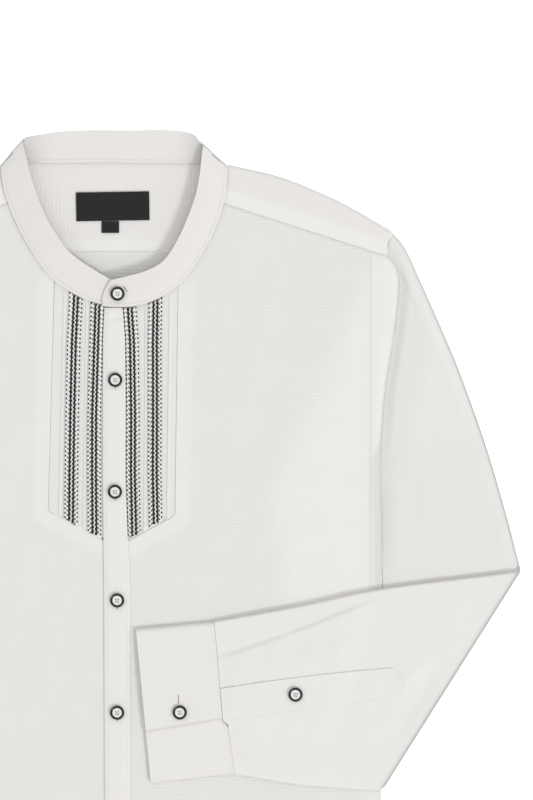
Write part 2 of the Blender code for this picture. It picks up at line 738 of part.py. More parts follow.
def build_left_sleeve():
    """The folded sleeve: down to the elbow, over the slanted fold, and back across the front."""
    fold_start, fold_end = LEFT_OVERARM[-1], LEFT_UNDERARM[-1]
    along_fold = unit(fold_end - fold_start)
    outward = np.array((-along_fold[1], along_fold[0]))
    radius = (SLEEVE_THICK + FOLD_GAP) / 2
    depth = radius + SLEEVE_THICK / 2
    axis_z = SLEEVE_THICK + FOLD_GAP / 2
    up = np.array((0.0, 0.0, 1.0))
    overarm, underarm = LEFT_OVERARM.copy(), LEFT_UNDERARM.copy()
    forearm_top, forearm_under = LEFT_FOREARM_TOP.copy(), LEFT_FOREARM_UNDER.copy()
    overarm[-1] = before_fold(fold_start, LEFT_OVERARM[-2], outward, depth)
    underarm[-1] = before_fold(fold_end, LEFT_UNDERARM[-2], outward, depth)
    forearm_top[0] = before_fold(fold_start, LEFT_FOREARM_TOP[1], outward, depth)
    forearm_under[0] = before_fold(fold_end, LEFT_FOREARM_UNDER[1], outward, depth)
    over, under = along(overarm, UPPER_STATIONS), along(underarm, UPPER_STATIONS)
    rings = []
    for i in range(UPPER_STATIONS):
        t = i / (UPPER_STATIONS - 1)
        thickness = SLEEVE_HEAD + (SLEEVE_THICK - SLEEVE_HEAD) * ease(t / 0.3)
        place = flat_place(over[i], under[i], thickness / 2, (1.0 - t) ** 2)
        rise = lift(lambda share, t=t: 0.3 * math.sin(math.pi * t) * swelling(share))
        rings.append(ring(place, up, thickness, rise))
    outward3 = np.array((*outward, 0.0))
    for k in range(1, FOLD_STEPS + 1):
        turn = math.pi * k / FOLD_STEPS
        shift = outward3 * radius * math.sin(turn) + up * (axis_z - radius * math.cos(turn))
        normal = up * math.cos(turn) - outward3 * math.sin(turn)
        start = overarm[-1] + (forearm_top[0] - overarm[-1]) * k / FOLD_STEPS
        end = underarm[-1] + (forearm_under[0] - underarm[-1]) * k / FOLD_STEPS

        def place(share, start=start, end=end, shift=shift):
            return np.array((*(start + (end - start) * share), 0.0)) + shift
        rings.append(ring(place, normal, SLEEVE_THICK))
    over, under = along(forearm_top, 101), along(forearm_under, 101)
    low = axis_z + radius - SLEEVE_THICK / 2
    setback = np.array((*unit(LEFT_CUFF_HAND.mean(axis=0) - LEFT_CUFF_ARM.mean(axis=0)), 0.0)) * STAGGER
    for t in FOREARM_STATIONS:
        shares, line = pleat_shares(t)
        fade = ease((t - 1.0 + PLEAT_LENGTH) / PLEAT_LENGTH) * (0.2 if t == 1.0 else 1.0)
        thickness = SLEEVE_THICK - 0.8 * ease((t - 0.8) / 0.2)

        def upper_face(share, t=t, line=line, fade=fade):
            swell = 0.9 * math.sin(math.pi * t) * swelling(share)
            pleat = PLEAT_STEP * fade * (ease((1.0 - share) / PLEAT_FADE) if share > line + 0.001 else 0.0)
            moved = up * (swell + pleat)
            if t == 1.0:
                moved = moved + setback * max(0.0, share / STAGGER_FROM if share < STAGGER_FROM + 0.01 else 0.1)
            return moved
        at = round(100 * t)
        place = flat_place(over[at], under[at], low + thickness / 2)
        rings.append(ring(place, -up, thickness, still, upper_face, shares))
    outer, inner = (np.array([pair[k] for pair in rings]) for k in (0, 1))
    return add_tube("left_sleeve", outer, inner, WHITE_WEAVE)


def right_sleeve_low(t):
    """Underside of the straight sleeve: on the surface, then lifted by the buttons under its cuff."""
    return RIGHT_SLEEVE_LIFT * ease((t - 0.5) / 0.34)


def build_right_sleeve():
    up = np.array((0.0, 0.0, 1.0))
    over = along(RIGHT_OVERARM, STRAIGHT_STATIONS)
    under = along(RIGHT_UNDERARM, STRAIGHT_STATIONS)
    rings = []
    for i in range(STRAIGHT_STATIONS):
        t = i / (STRAIGHT_STATIONS - 1)
        thickness = SLEEVE_HEAD + (SLEEVE_THICK - SLEEVE_HEAD) * ease(t / 0.2) - 1.0 * ease((t - 0.8) / 0.2)
        place = flat_place(over[i], under[i], right_sleeve_low(t) + thickness / 2, (1.0 - t) ** 2)
        rise = lift(lambda share, t=t: 0.8 * math.sin(math.pi * t) * swelling(share))
        outer, inner = ring(place, up, thickness, rise)
        mirror = np.array((-1.0, 1.0, 1.0))
        rings.append(([p * mirror for p in outer], [p * mirror for p in inner]))
    outer, inner = (np.array([pair[k] for pair in rings]) for k in (0, 1))
    return add_tube("right_sleeve", outer, inner, WHITE_WEAVE)


def cuff_section():
    """Middle line of the cuff's cloth in its own plane: under end, back, and over end on top."""
    half = CUFF_WIDTH / 2 - CUFF_CLOTH / 2
    low = CUFF_CLOTH / 2
    under = low + CUFF_CLOTH + SEAM_GAP
    over = under + CUFF_CLOTH + SEAM_GAP
    near_over = low + 2.4
    path = [(CUFF_UNDER_EDGE, under), (-19.5, under), (-24.0, under), (-half + CUFF_FOLD, under)]
    for turn in (45, 90, 135):
        angle = math.radians(turn)
        path.append((-half + CUFF_FOLD - CUFF_FOLD * math.sin(angle), low + CUFF_FOLD + CUFF_FOLD * math.cos(angle)))
    radius = (near_over - low) / 2
    path += [(-half + CUFF_FOLD, low), (0.0, low), (half - radius, low)]
    for turn in (45, 90, 135):
        angle = math.radians(turn)
        path.append((half - radius + radius * math.sin(angle), low + radius - radius * math.cos(angle)))
    path += [(half - radius, near_over), (30.0, over - 0.1), (2.0, over), (CUFF_OVER_EDGE, over)]
    return np.array(path)


def build_cuff(name, hand_end, arm_end, up_sign, base, stagger):
    """A cuff: its section run from the hand's end to the arm's end. Each end is given by its under and
    its upper corner; up_sign is -1 where the overlap lies underneath."""
    path = cuff_section()
    step = np.gradient(path, axis=0)
    normal = np.stack([-step[:, 1], step[:, 0]], axis=1)
    normal /= np.linalg.norm(normal, axis=1)[:, None]
    over_part = (np.arange(len(path)) >= len(path) - 4) | (np.arange(len(path)) < 2)
    back = unit(hand_end.mean(axis=0) - arm_end.mean(axis=0)) * stagger
    grids = []
    for edge in (path - normal * CUFF_CLOTH / 2, path + normal * CUFF_CLOTH / 2):
        grid = np.zeros((3, len(path), 3))
        for i, t in enumerate((0.0, 0.5, 1.0)):
            under, upper = hand_end + (arm_end - hand_end) * t
            for j, (v, w) in enumerate(edge):
                across = v + (CUFF_OVER_SLANT * t if j == len(path) - 1 else 0.0)
                share = across / CUFF_WIDTH + 0.5
                place = under + (upper - under) * share
                if over_part[j]:
                    place = place + back * t * (1.0 - share) / STAGGER_FROM
                grid[i, j] = (*place, base + up_sign * w)
        grids.append(grid)
    return add_wall(name, grids[0], grids[1], WHITE_SMOOTH)


def right_cuff_ends():
    """Hand end and arm end of the straight sleeve's cuff, each from its under to its upper corner."""
    mirror = np.array((-1.0, 1.0))
    corners = np.array([RIGHT_UNDERARM[-1], RIGHT_OVERARM[-1]]) * mirror
    toward_top = unit(corners[1] - corners[0])
    toward_arm = np.array((toward_top[1], -toward_top[0]))
    middle = corners.mean(axis=0)
    arm = np.array([middle - toward_top * CUFF_WIDTH / 2, middle + toward_top * CUFF_WIDTH / 2])
    arm = arm - toward_arm * (SEAM_GAP + 0.3)
    return arm - toward_arm * CUFF_DEPTH, arm


def height_of(piece, from_above=True):
    """A function that gives the height of the object's upper or lower face at a place, in millimetres."""
    points = [piece.matrix_basis @ v.co for v in piece.data.vertices]
    tree = BVHTree.FromPolygons(points, [p.vertices[:] for p in piece.data.polygons])
    far = 1.0 if from_above else -1.0

    def height(x, y):
        hit = tree.ray_cast(Vector((x * MM, y * MM, far)), Vector((0.0, 0.0, -far)))[0]
        return hit.z / MM if hit else 0.0
    return height


def build_left_band(sleeve):
    """The pointed band of the folded sleeve's opening, lying on the sleeve."""
    height = height_of(sleeve)
    lower, upper = along(LEFT_BAND_LOWER, 8), along(LEFT_BAND_UPPER, 8)
    tip = np.array(LEFT_BAND_TIP)
    rows = [lower + (upper - lower) * k / 4 for k in range(5)]
    grid = np.zeros((10, 5, 3))
    for k in range(5):
        line = list(rows[k])
        last = line[-1]
        line += [last + (tip - last) * 0.5, last + (tip - last) * 0.92]
        for i, (x, y) in enumerate(line):
            grid[i, k] = (x, y, max(height(x + step, y) for step in (0.0, 2.5, 5.0)) + SEAM_GAP + 0.1)
    return add_wall("left_sleeve_band", grid, grid + (0.0, 0.0, CLOTH), WHITE_SMOOTH)


def build_right_band(sleeve, start, direction):
    """The pointed band of the straight sleeve's opening, under the sleeve. It starts at the cuff."""
    height = height_of(sleeve, from_above=False)
    across = np.array((-direction[1], direction[0]))
    stations = [(BAND_LENGTH * k / 8, 1.0) for k in range(8)]
    stations += [(BAND_LENGTH - BAND_POINT, 1.0), (BAND_LENGTH - BAND_POINT / 2, 0.62), (BAND_LENGTH, 0.2)]
    grid = np.zeros((len(stations), 5, 3))
    for i, (distance, share) in enumerate(stations):
        for j in range(5):
            place = start + direction * distance + across * BAND_WIDTH / 2 * share * (j / 2 - 1)
            near = [height(*(place + direction * step)) for step in (0.0, 6.0)]
            grid[i, j] = (*place, max(0.0, min(near) - CLOTH - SEAM_GAP - 0.1))
    return add_wall("right_sleeve_band", grid, grid + (0.0, 0.0, CLOTH), WHITE_SMOOTH)


def button_mesh():
    """A four-hole button with a raised rim, resting on z = 0."""
    sides = BUTTON_SIDES
    points = [(r * math.cos(2 * math.pi * k / sides), r * math.sin(2 * math.pi * k / sides), z)
              for r, z in BUTTON_PROFILE for k in range(sides)]
    faces = grid_faces(len(BUTTON_PROFILE), sides, closed=True)
    faces += [tuple(range(sides)), tuple((len(BUTTON_PROFILE) - 1) * sides + k for k in range(sides))]
    disc = add_solid("button_blank", points, faces, BUTTON_FINISH, 35.0)
    hole_sides = 6
    cutters = []
    for k in range(4):
        turn = math.pi / 4 + math.pi / 2 * k
        x, y = BUTTON_HOLE_OFFSET * math.cos(turn), BUTTON_HOLE_OFFSET * math.sin(turn)
        circle = [(x + BUTTON_HOLE_RADIUS * math.cos(2 * math.pi * j / hole_sides),
                   y + BUTTON_HOLE_RADIUS * math.sin(2 * math.pi * j / hole_sides)) for j in range(hole_sides)]
        prism = [(*p, -1.0) for p in circle] + [(*p, 3.0) for p in circle]
        prism_faces = grid_faces(2, hole_sides, closed=True)
        prism_faces += [tuple(range(hole_sides)), tuple(range(hole_sides, 2 * hole_sides))]
        cutter = add_solid(f"hole_{k}", prism, prism_faces, BUTTON_FINISH)
        cut = disc.modifiers.new(f"hole_{k}", "BOOLEAN")
        cut.operation = "DIFFERENCE"
        cut.solver = "EXACT"
        cut.object = cutter
        cutters.append(cutter)
    bpy.context.view_layer.update()
    finished = disc.evaluated_get(bpy.context.evaluated_depsgraph_get())
    mesh = bpy.data.meshes.new_from_object(finished)
    mesh.name = "button"
    for helper in [disc, *cutters]:
        bpy.data.objects.remove(helper)
    return mesh


def place_button(mesh, name, place, base, face_down=False):
    """A button with its lowest point at this height."""
    made = bpy.data.objects.new(name, mesh)
    made.location = (place[0] * MM, place[1] * MM, (base + (BUTTON_HIGH if face_down else 0.0)) * MM)
    if face_down:
        made.rotation_euler = (math.pi, 0.0, 0.0)
    bpy.context.scene.collection.objects.link(made)


def resting_height(piece, place):
    """Lowest height at which a button clears this piece."""
    height = height_of(piece)
    edge = [(math.cos(math.pi * k / 4), math.sin(math.pi * k / 4)) for k in range(8)]
    spots = [(0.0, 0.0)] + [(BUTTON_RADIUS * x, BUTTON_RADIUS * y) for x, y in edge]
    return max(height(place[0] + x, place[1] + y) for x, y in spots) + SEAM_GAP + 0.05


def build_label(name, centre, size, turn):
    half_x, half_y = size[0] / 2, size[1] / 2
    cos, sin = math.cos(turn), math.sin(turn)

    def corner(x, y):
        return (centre[0] + x * cos - y * sin, centre[1] + x * sin + y * cos)
    rows = [(corner(-half_x, y), corner(half_x, y)) for y in (-half_y, half_y)]
    add_panel(name, rows, 2, lambda x, y: BACK_TOP + SEAM_GAP, LABEL_CLOTH, BLACK_WOVEN)


def build_left_sleeve_end(mesh, sleeve):
    cuff = build_cuff("left_cuff", LEFT_CUFF_HAND, LEFT_CUFF_ARM, 1.0, LEFT_CUFF_LOW, STAGGER)
    band = build_left_band(sleeve)
    place_button(mesh, "left_cuff_button", LEFT_CUFF_BUTTON, resting_height(cuff, LEFT_CUFF_BUTTON))
    place_button(mesh, "left_band_button", LEFT_BAND_BUTTON, resting_height(band, LEFT_BAND_BUTTON))


def build_right_sleeve_end(mesh, sleeve):
    hand_end, arm_end = right_cuff_ends()
    build_cuff("right_cuff", hand_end, arm_end, -1.0, BUTTON_HIGH + SEAM_GAP + CUFF_RISE, 0.0)
    toward_top, toward_arm = unit(arm_end[1] - arm_end[0]), unit(arm_end[0] - hand_end[0])
    spot = hand_end.mean(axis=0) + toward_arm * 29.5 - toward_top * 8.0
    place_button(mesh, "right_cuff_button", spot, 0.0, face_down=True)
    start = arm_end.mean(axis=0) + toward_arm * 1.0 - toward_top * 5.0
    direction = unit(toward_arm + toward_top * 0.03)
    build_right_band(sleeve, start, direction)
    place_button(mesh, "right_band_button", start + direction * 60.0, 0.0, face_down=True)


def build_front_buttons(mesh, collar):
    place_button(mesh, "button_1", COLLAR_BUTTON, resting_height(collar, COLLAR_BUTTON))
    for k, place in enumerate(FRONT_BUTTONS):
        place_button(mesh, f"button_{k + 2}", place, ON_FRONT + PLACKET_CLOTH + SEAM_GAP)


def main():
    clear_scene()
    build_back()
    build_yoke()
    for side, word in ((1, "left"), (-1, "right")):
        build_front(side, f"{word}_front")
        build_bib(side, f"{word}_bib")
    build_placket()
    build_tapes()
    collar = build_collar()
    left_sleeve = build_left_sleeve()
    right_sleeve = build_right_sleeve()
    mesh = button_mesh()
    build_left_sleeve_end(mesh, left_sleeve)
    build_right_sleeve_end(mesh, right_sleeve)
    build_front_buttons(mesh, collar)
    build_label("label", LABEL_CENTRE, LABEL_SIZE, LABEL_TURN)
    build_label("size_tab", TAB_CENTRE, TAB_SIZE, 0.0)
    for thing in bpy.data.objects:
        thing.location.y -= ORIGIN_Y * MM


main()
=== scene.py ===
"""Looks of a long-sleeved koko shirt that lies flat, face up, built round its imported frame.

Tables and sizes are in millimetres. X = 0 is the middle of the front and points to the wearer's left, Y = 0
is the collar's seam at the back of the neck, and Z is the height over the surface. ROW_SHIFT moves them to
the frame's origin, which lies under the chest, and MM turns them into metres.
"""

import logging
import math
from collections.abc import Callable
from dataclasses import dataclass, field, replace
from enum import Enum
from functools import partial

import bmesh
import bpy
import numpy as np
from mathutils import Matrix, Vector
from mathutils.bvhtree import BVHTree


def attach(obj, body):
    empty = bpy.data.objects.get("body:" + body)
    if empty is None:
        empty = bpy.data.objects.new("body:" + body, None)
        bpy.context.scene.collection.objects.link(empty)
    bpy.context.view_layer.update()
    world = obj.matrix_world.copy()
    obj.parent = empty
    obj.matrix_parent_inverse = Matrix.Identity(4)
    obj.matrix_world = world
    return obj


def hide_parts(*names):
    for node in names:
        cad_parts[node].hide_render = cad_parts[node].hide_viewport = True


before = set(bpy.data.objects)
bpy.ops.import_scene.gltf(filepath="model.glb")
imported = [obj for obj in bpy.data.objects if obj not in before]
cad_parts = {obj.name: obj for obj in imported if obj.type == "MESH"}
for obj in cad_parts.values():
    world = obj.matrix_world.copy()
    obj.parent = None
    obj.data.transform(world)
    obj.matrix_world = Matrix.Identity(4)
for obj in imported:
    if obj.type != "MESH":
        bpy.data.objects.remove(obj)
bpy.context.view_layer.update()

LOG = logging.getLogger("koko_shirt")
MM = 0.001
ROW_SHIFT = 296.0
LEFT = 1
RIGHT = -1

Array = np.ndarray
Ring = tuple[Array, Array]
Pair = tuple[float, float]
Pairs = tuple[Pair, ...]
Colour = tuple[float, float, float]

CLOTH = 1.2
SEAM_GAP = 0.3
TOUCH = 0.08
UNDERLAP = 3.5
BACK_TOP = CLOTH
FRONT_LOW = 3.6
FRONT_TOP = FRONT_LOW + CLOTH
ON_FRONT = FRONT_TOP + SEAM_GAP
HEM_Y = -750.0
UNDERARM_Y = -296.0
FAR = 40.0
SHARP = math.radians(55.0)
UP = np.array((0.0, 0.0, 1.0))


class Slot(Enum):
    """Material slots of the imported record."""

    WEAVE = "white_weave"
    SMOOTH = "white_smooth"
    TAPE = "embroidered_tape"
    LABEL = "black_woven"
    BUTTON = "button"


def ease(value: Array | float) -> Array | float:
    """Return a smooth rise: 0 for values up to 0, and 1 for values from 1 on."""
    held = np.clip(value, 0.0, 1.0)
    return held * held * (3.0 - 2.0 * held)


def unit(vector: Array) -> Array:
    """Return the vector at length 1."""
    vector = np.asarray(vector, float)
    return vector / np.linalg.norm(vector)


def along(points: Array, count: int) -> Array:
    """Lay points on the smooth curve through the given ones.

    Args:
        points: Points of the curve, one a row.
        count: How many to return.

    Returns:
        Points evenly spaced by length.
    """
    points = np.asarray(points, float)
    padded = np.vstack([2 * points[0] - points[1], points, 2 * points[-1] - points[-2]])
    steps = np.arange(12)[:, None] / 12
    fine = []
    for a, b, c, d in zip(padded, padded[1:], padded[2:], padded[3:]):
        fine.append(0.5 * (2 * b + (c - a) * steps + (2 * a - 5 * b + 4 * c - d) * steps ** 2
                           + (3 * b - a - 3 * c + d) * steps ** 3))
    return evenly(np.vstack([*fine, points[-1:]]), count)


def evenly(points: Array, count: int) -> Array:
    """Lay points evenly by length on a line of straight pieces.

    Args:
        points: Corners of the line, one a row.
        count: How many to return.

    Returns:
        The new points.
    """
    points = np.asarray(points, float)
    length = travelled(points)
    wanted = np.linspace(0.0, length[-1], count)
    return np.stack([np.interp(wanted, length, column) for column in points.T], axis=1)


def travelled(points: Array) -> Array:
    """Return the length of a line of straight pieces up to each of its corners."""
    return np.concatenate([[0.0], np.cumsum(np.linalg.norm(np.diff(points, axis=0), axis=1))])


def from_line(x: Array, y: Array, line: Array) -> tuple[Array, Array]:
    """Measure how far places lie from a line of straight pieces.

    Args:
        x: Places across.
        y: Places along.
        line: Corners of the line, one a row.

    Returns:
        The distance of each place, and its sign: above 0 on the left of the line's direction.
    """
    best = np.full(np.shape(x), 1e9)
    sign = np.ones(np.shape(x))
    for (ax, ay), (bx, by) in zip(line, line[1:]):
        dx, dy = bx - ax, by - ay
        share = np.clip(((x - ax) * dx + (y - ay) * dy) / (dx * dx + dy * dy), 0.0, 1.0)
        distance = np.hypot(x - ax - dx * share, y - ay - dy * share)
        side = np.sign(dx * (y - ay) - dy * (x - ax))
        sign = np.where(distance < best, side, sign)
        best = np.minimum(best, distance)
    return best, sign


def subdivided(values: Array, parts: int) -> Array:
    """Return a list with each of its intervals split into equal parts."""
    places = np.linspace(0.0, len(values) - 1, parts * (len(values) - 1) + 1)
    return np.interp(places, np.arange(len(values)), values)


@dataclass(frozen=True)
class Crease:
    """A soft ridge, or with a height below 0 a trough, along a slightly bowed line."""

    start: Pair
    end: Pair
    half_width: float
    height: float
    bow: float = 0.0

    def lift(self, x: Array, y: Array) -> Array:
        """Work out how far the crease lifts the cloth.

        Args:
            x: Places across.
            y: Places along.

        Returns:
            The lift at each place.
        """
        start, end = np.asarray(self.start), np.asarray(self.end)
        length = np.linalg.norm(end - start)
        ahead = (end - start) / length
        share = ((x - start[0]) * ahead[0] + (y - start[1]) * ahead[1]) / length
        aside = (y - start[1]) * ahead[0] - (x - start[0]) * ahead[1]
        held = np.clip(share, 0.0, 1.0)
        aside = aside - self.bow * 4.0 * held * (1.0 - held)
        fade = ease(share / 0.35) * ease((1.0 - share) / 0.35)
        return self.height * fade * np.exp(-(aside / self.half_width) ** 2)


def lifted(creases: tuple[Crease, ...], x: Array, y: Array) -> Array:
    """Return the sum of the creases' lifts at each place."""
    return sum((crease.lift(x, y) for crease in creases), np.zeros(np.shape(x)))


def ripple(x: Array, y: Array, size: float, height: float) -> Array:
    """Make the slight unevenness of pressed cloth.

    Args:
        x: Places across.
        y: Places along.
        size: Distance between neighbouring swells.
        height: Rise of the highest swell.

    Returns:
        The lift at each place.
    """
    total = np.zeros(np.shape(x))
    for turn, stretch, phase in ((0.3, 1.0, 0.0), (1.4, 0.73, 1.9), (2.3, 1.31, 4.1), (2.9, 0.57, 2.7)):
        travel = x * math.cos(turn) + y * math.sin(turn)
        total = total + np.sin(2.0 * math.pi * travel / (size * stretch) + phase)
    return total * height / 4.0


@dataclass(frozen=True)
class StitchLine:
    """A line of a finish at a distance in an attribute that holds millimetres, sunk and darkened with painted
    shade: the groove of a sewn line, or a band of painted shade beside an edge, turn or fold.
    """

    attribute: str
    distance: float
    half_width: float = 0.55
    shade: float = 0.06


def feed(node: bpy.types.Node, inputs: dict[int | str, object]) -> None:
    """Link or set inputs of a node.

    Args:
        node: The node.
        inputs: The socket or the value for each input.
    """
    for key, value in inputs.items():
        if isinstance(value, bpy.types.NodeSocket):
            node.id_data.links.new(value, node.inputs[key])
        else:
            node.inputs[key].default_value = value


def add_node(tree: bpy.types.NodeTree, kind: str, inputs: dict[int | str, object],
             **settings: object) -> bpy.types.Node:
    """Add a node to a tree.

    Args:
        tree: The tree.
        kind: Type of the node.
        inputs: The socket or the value for each input.
        settings: The node's own properties.

    Returns:
        The node.
    """
    node = tree.nodes.new(kind)
    for key, value in settings.items():
        setattr(node, key, value)
    feed(node, inputs)
    return node


class Painter:
    """Adds nodes to one material."""

    def __init__(self, name: str) -> None:
        """Start a material with a single surface shader."""
        self.material = bpy.data.materials.new(name)
        self.material.use_nodes = True
        self.tree = self.material.node_tree
        self.shader = self.tree.nodes["Principled BSDF"]

    def math(self, operation: str, *values: object) -> bpy.types.NodeSocket:
        """Return the outcome of an operation on numbers or sockets."""
        return add_node(self.tree, "ShaderNodeMath", dict(enumerate(values)), operation=operation).outputs[0]

    def weave(self) -> tuple[bpy.types.NodeSocket, ...]:
        """Return the piece's own weave coordinates, across and along, in millimetres."""
        place = add_node(self.tree, "ShaderNodeUVMap", {}, uv_map="weave")
        split = add_node(self.tree, "ShaderNodeSeparateXYZ", {0: place.outputs[0]})
        return tuple(self.math("MULTIPLY", split.outputs[k], 1000.0) for k in range(2))

    def attribute(self, name: str) -> bpy.types.NodeSocket:
        """Return the value of one of the piece's attributes."""
        return add_node(self.tree, "ShaderNodeAttribute", {}, attribute_name=name).outputs["Fac"]

    def flat(self, across: bpy.types.NodeSocket, upward: bpy.types.NodeSocket) -> bpy.types.NodeSocket:
        """Return the place with these coordinates."""
        return add_node(self.tree, "ShaderNodeCombineXYZ", {0: across, 1: upward}).outputs[0]

    def noise(self, place: bpy.types.NodeSocket, scale: float, detail: float = 2.0) -> bpy.types.NodeSocket:
        """Return a noise around 0.5, with this many swells a unit and this many finer layers."""
        inputs = {"Vector": place, "Scale": scale, "Detail": detail}
        return add_node(self.tree, "ShaderNodeTexNoise", inputs).outputs[0]

    def mix(self, share: bpy.types.NodeSocket, *colours: object) -> bpy.types.NodeSocket:
        """Return the mix of two colours or sockets, with this share of the second."""
        first, second = (c if isinstance(c, bpy.types.NodeSocket) else (*c, 1.0) for c in colours)
        inputs = {0: share, 6: first, 7: second}
        return add_node(self.tree, "ShaderNodeMix", inputs, data_type="RGBA").outputs[2]

    def bell(self, value: object, centre: float, half_width: float) -> bpy.types.NodeSocket:
        """Return a soft peak of height 1 where the value is at the centre."""
        away = self.math("DIVIDE", self.math("SUBTRACT", value, centre), half_width)
        return self.math("EXPONENT", self.math("MULTIPLY", self.math("MULTIPLY", away, away), -1.0))

    def finish(self, colour: object, height: object, relief: float, roughness: float, sheen: float,
               specular: float) -> bpy.types.Material:
        """Connect the surface shader.

        Args:
            colour: Colour of the surface.
            height: Its relief, from 0 to 1.
            relief: Metres that a height of 1 stands for.
            roughness: Its roughness.
            sheen: Weight of its sheen.
            specular: Level of its gloss.

        Returns:
            The material.
        """
        bump = add_node(self.tree, "ShaderNodeBump", {"Distance": relief, "Strength": 1.0, "Height": height})
        feed(self.shader, {"Base Color": colour, "Normal": bump.outputs[0], "Roughness": roughness,
                           "Sheen Weight": sheen, "Sheen Roughness": 0.6, "Specular IOR Level": specular})
        return self.material


@dataclass(frozen=True)
class Finish:
    """What every finish has: a name, and one material of that name."""

    name: str

    def paint(self, paint: Painter) -> bpy.types.Material:
        """Draw the finish on a new material."""
        raise NotImplementedError

    def build(self) -> bpy.types.Material:
        """Return the finish's material, made at its first use."""
        return bpy.data.materials.get(self.name) or self.paint(Painter(self.name))


@dataclass(frozen=True)
class CottonFinish(Finish):
    """Off-white cotton with its weave, its ribs, and its lines: grooves of sewn lines and bands of painted
    shade, each darkened with painted shade.
    """

    colour: Colour = (0.80, 0.79, 0.77)
    doubled: Colour = (0.86, 0.845, 0.825)
    darker_tone_and_shade: Colour = (0.55, 0.54, 0.52)
    rib_step: float = 3.0
    rib_shade: float = 0.03
    thread_step: float = 0.55
    relief: float = 0.00028
    roughness: float = 0.86
    lines: tuple[StitchLine, ...] = ()
    # How dark the copy for the cloth's steep faces and rounded rims is, which paints shade along its edges,
    # and the lines that copy carries.
    edge_tone: float = 0.7
    edge_lines: tuple[StitchLine, ...] = ()

    def edge(self) -> "CottonFinish":
        """Return the darker copy of the finish: painted shade for the cloth's steep faces and rounded rims.
        """
        darker = tuple(c * self.edge_tone for c in self.colour)
        return replace(self, name=f"{self.name}_edge", colour=darker, doubled=darker, lines=self.edge_lines)

    def paint(self, paint: Painter) -> bpy.types.Material:
        """Draw ribs that wander slightly, slubs, crossed threads and the lines, each line sunk and darkened
        with painted shade.
        """
        times, plus, less = (partial(paint.math, kind) for kind in ("MULTIPLY", "ADD", "SUBTRACT"))
        across, upward = paint.weave()
        wander = paint.noise(paint.flat(times(across, 0.05), times(upward, 0.6)), 1.0)
        rib = paint.math("SINE", times(plus(upward, times(wander, 0.9)), math.tau / self.rib_step))
        rib = times(rib, times(less(1.0, paint.attribute("plain")), plus(wander, 0.25)))
        slub = paint.noise(paint.flat(times(across, 0.45), times(upward, 3.0)), 1.0, 3.0)
        pitch = math.tau / self.thread_step
        threads = times(paint.math("SINE", times(across, pitch)), paint.math("SINE", times(upward, pitch)))
        mottle = paint.noise(paint.flat(across, upward), 0.035, 3.0)
        # The darker colour takes painted shade in the rib valleys and random tone from slubs and mottle.
        dark = times(less(1.0, rib), self.rib_shade * 0.5)
        dark = plus(plus(dark, times(less(slub, 0.5), 0.05)), times(less(mottle, 0.5), 0.06))
        height = plus(plus(times(rib, 0.25), times(slub, 0.3)), times(threads, 0.06))
        # Each line sinks the cloth and mixes in the darker colour: painted shade.
        for line in self.lines:
            peak = paint.bell(paint.attribute(line.attribute), line.distance, line.half_width)
            dark = plus(dark, times(peak, line.shade))
            height = less(height, times(peak, 0.9))
        tone = paint.mix(paint.attribute("under"), self.colour, self.doubled)
        colour = paint.mix(dark, tone, self.darker_tone_and_shade)
        return paint.finish(colour, height, self.relief, self.roughness, 0.15, 0.25)


@dataclass(frozen=True)
class GrainFinish(Finish):
    """Thread or polished plastic, with a grain of a darker tone."""

    colour: Colour
    roughness: float = 0.6
    grain: float = 3500.0
    tone: float = 0.8
    relief: float = 0.0001
    sheen: float = 0.1
    specular: float = 0.3

    def paint(self, paint: Painter) -> bpy.types.Material:
        """Draw the grain."""
        grain = paint.noise(add_node(paint.tree, "ShaderNodeTexCoord", {}).outputs["Object"], self.grain)
        colour = paint.mix(grain, self.colour, tuple(c * self.tone for c in self.colour))
        return paint.finish(colour, grain, self.relief, self.roughness, self.sheen, self.specular)


@dataclass(frozen=True)
class LabelFinish(Finish):
    """Black satin-woven label cloth with fine ribs and a slight sheen."""

    colour: Colour = (0.006, 0.006, 0.007)
    worn: Colour = (0.02, 0.02, 0.022)
    weft_step: float = 0.45
    warp_step: float = 0.3

    def paint(self, paint: Painter) -> bpy.types.Material:
        """Draw the weave."""
        across, upward = paint.weave()
        weft = paint.math("SINE", paint.math("MULTIPLY", upward, math.tau / self.weft_step))
        warp = paint.math("SINE", paint.math("MULTIPLY", across, math.tau / self.warp_step))
        height = paint.math("ADD", paint.math("MULTIPLY", weft, 0.3), paint.math("MULTIPLY", warp, 0.15))
        rub = paint.noise(paint.flat(across, upward), 0.4, 4.0)
        return paint.finish(paint.mix(rub, self.colour, self.worn), height, 0.00012, 0.5, 0.2, 0.35)


# SILHOUETTE_SHADE and its faint copy paint a dark line of shade along the cloth's outer silhouettes, where
# the attribute outline is 0.
SILHOUETTE_SHADE = StitchLine("outline", 0.0, 1.5, 1.0)
FAINT_SILHOUETTE_SHADE = replace(SILHOUETTE_SHADE, shade=0.6)
BAND_SEAM = StitchLine("seam", 2.6, 0.5, 0.05)
# BODY_COTTON's neck line paints shade on the back, darkest at the bottom of the neck opening.
BODY_COTTON = CottonFinish("body_cotton", lines=(StitchLine("neck", 0.0, 26.0, 0.3),))
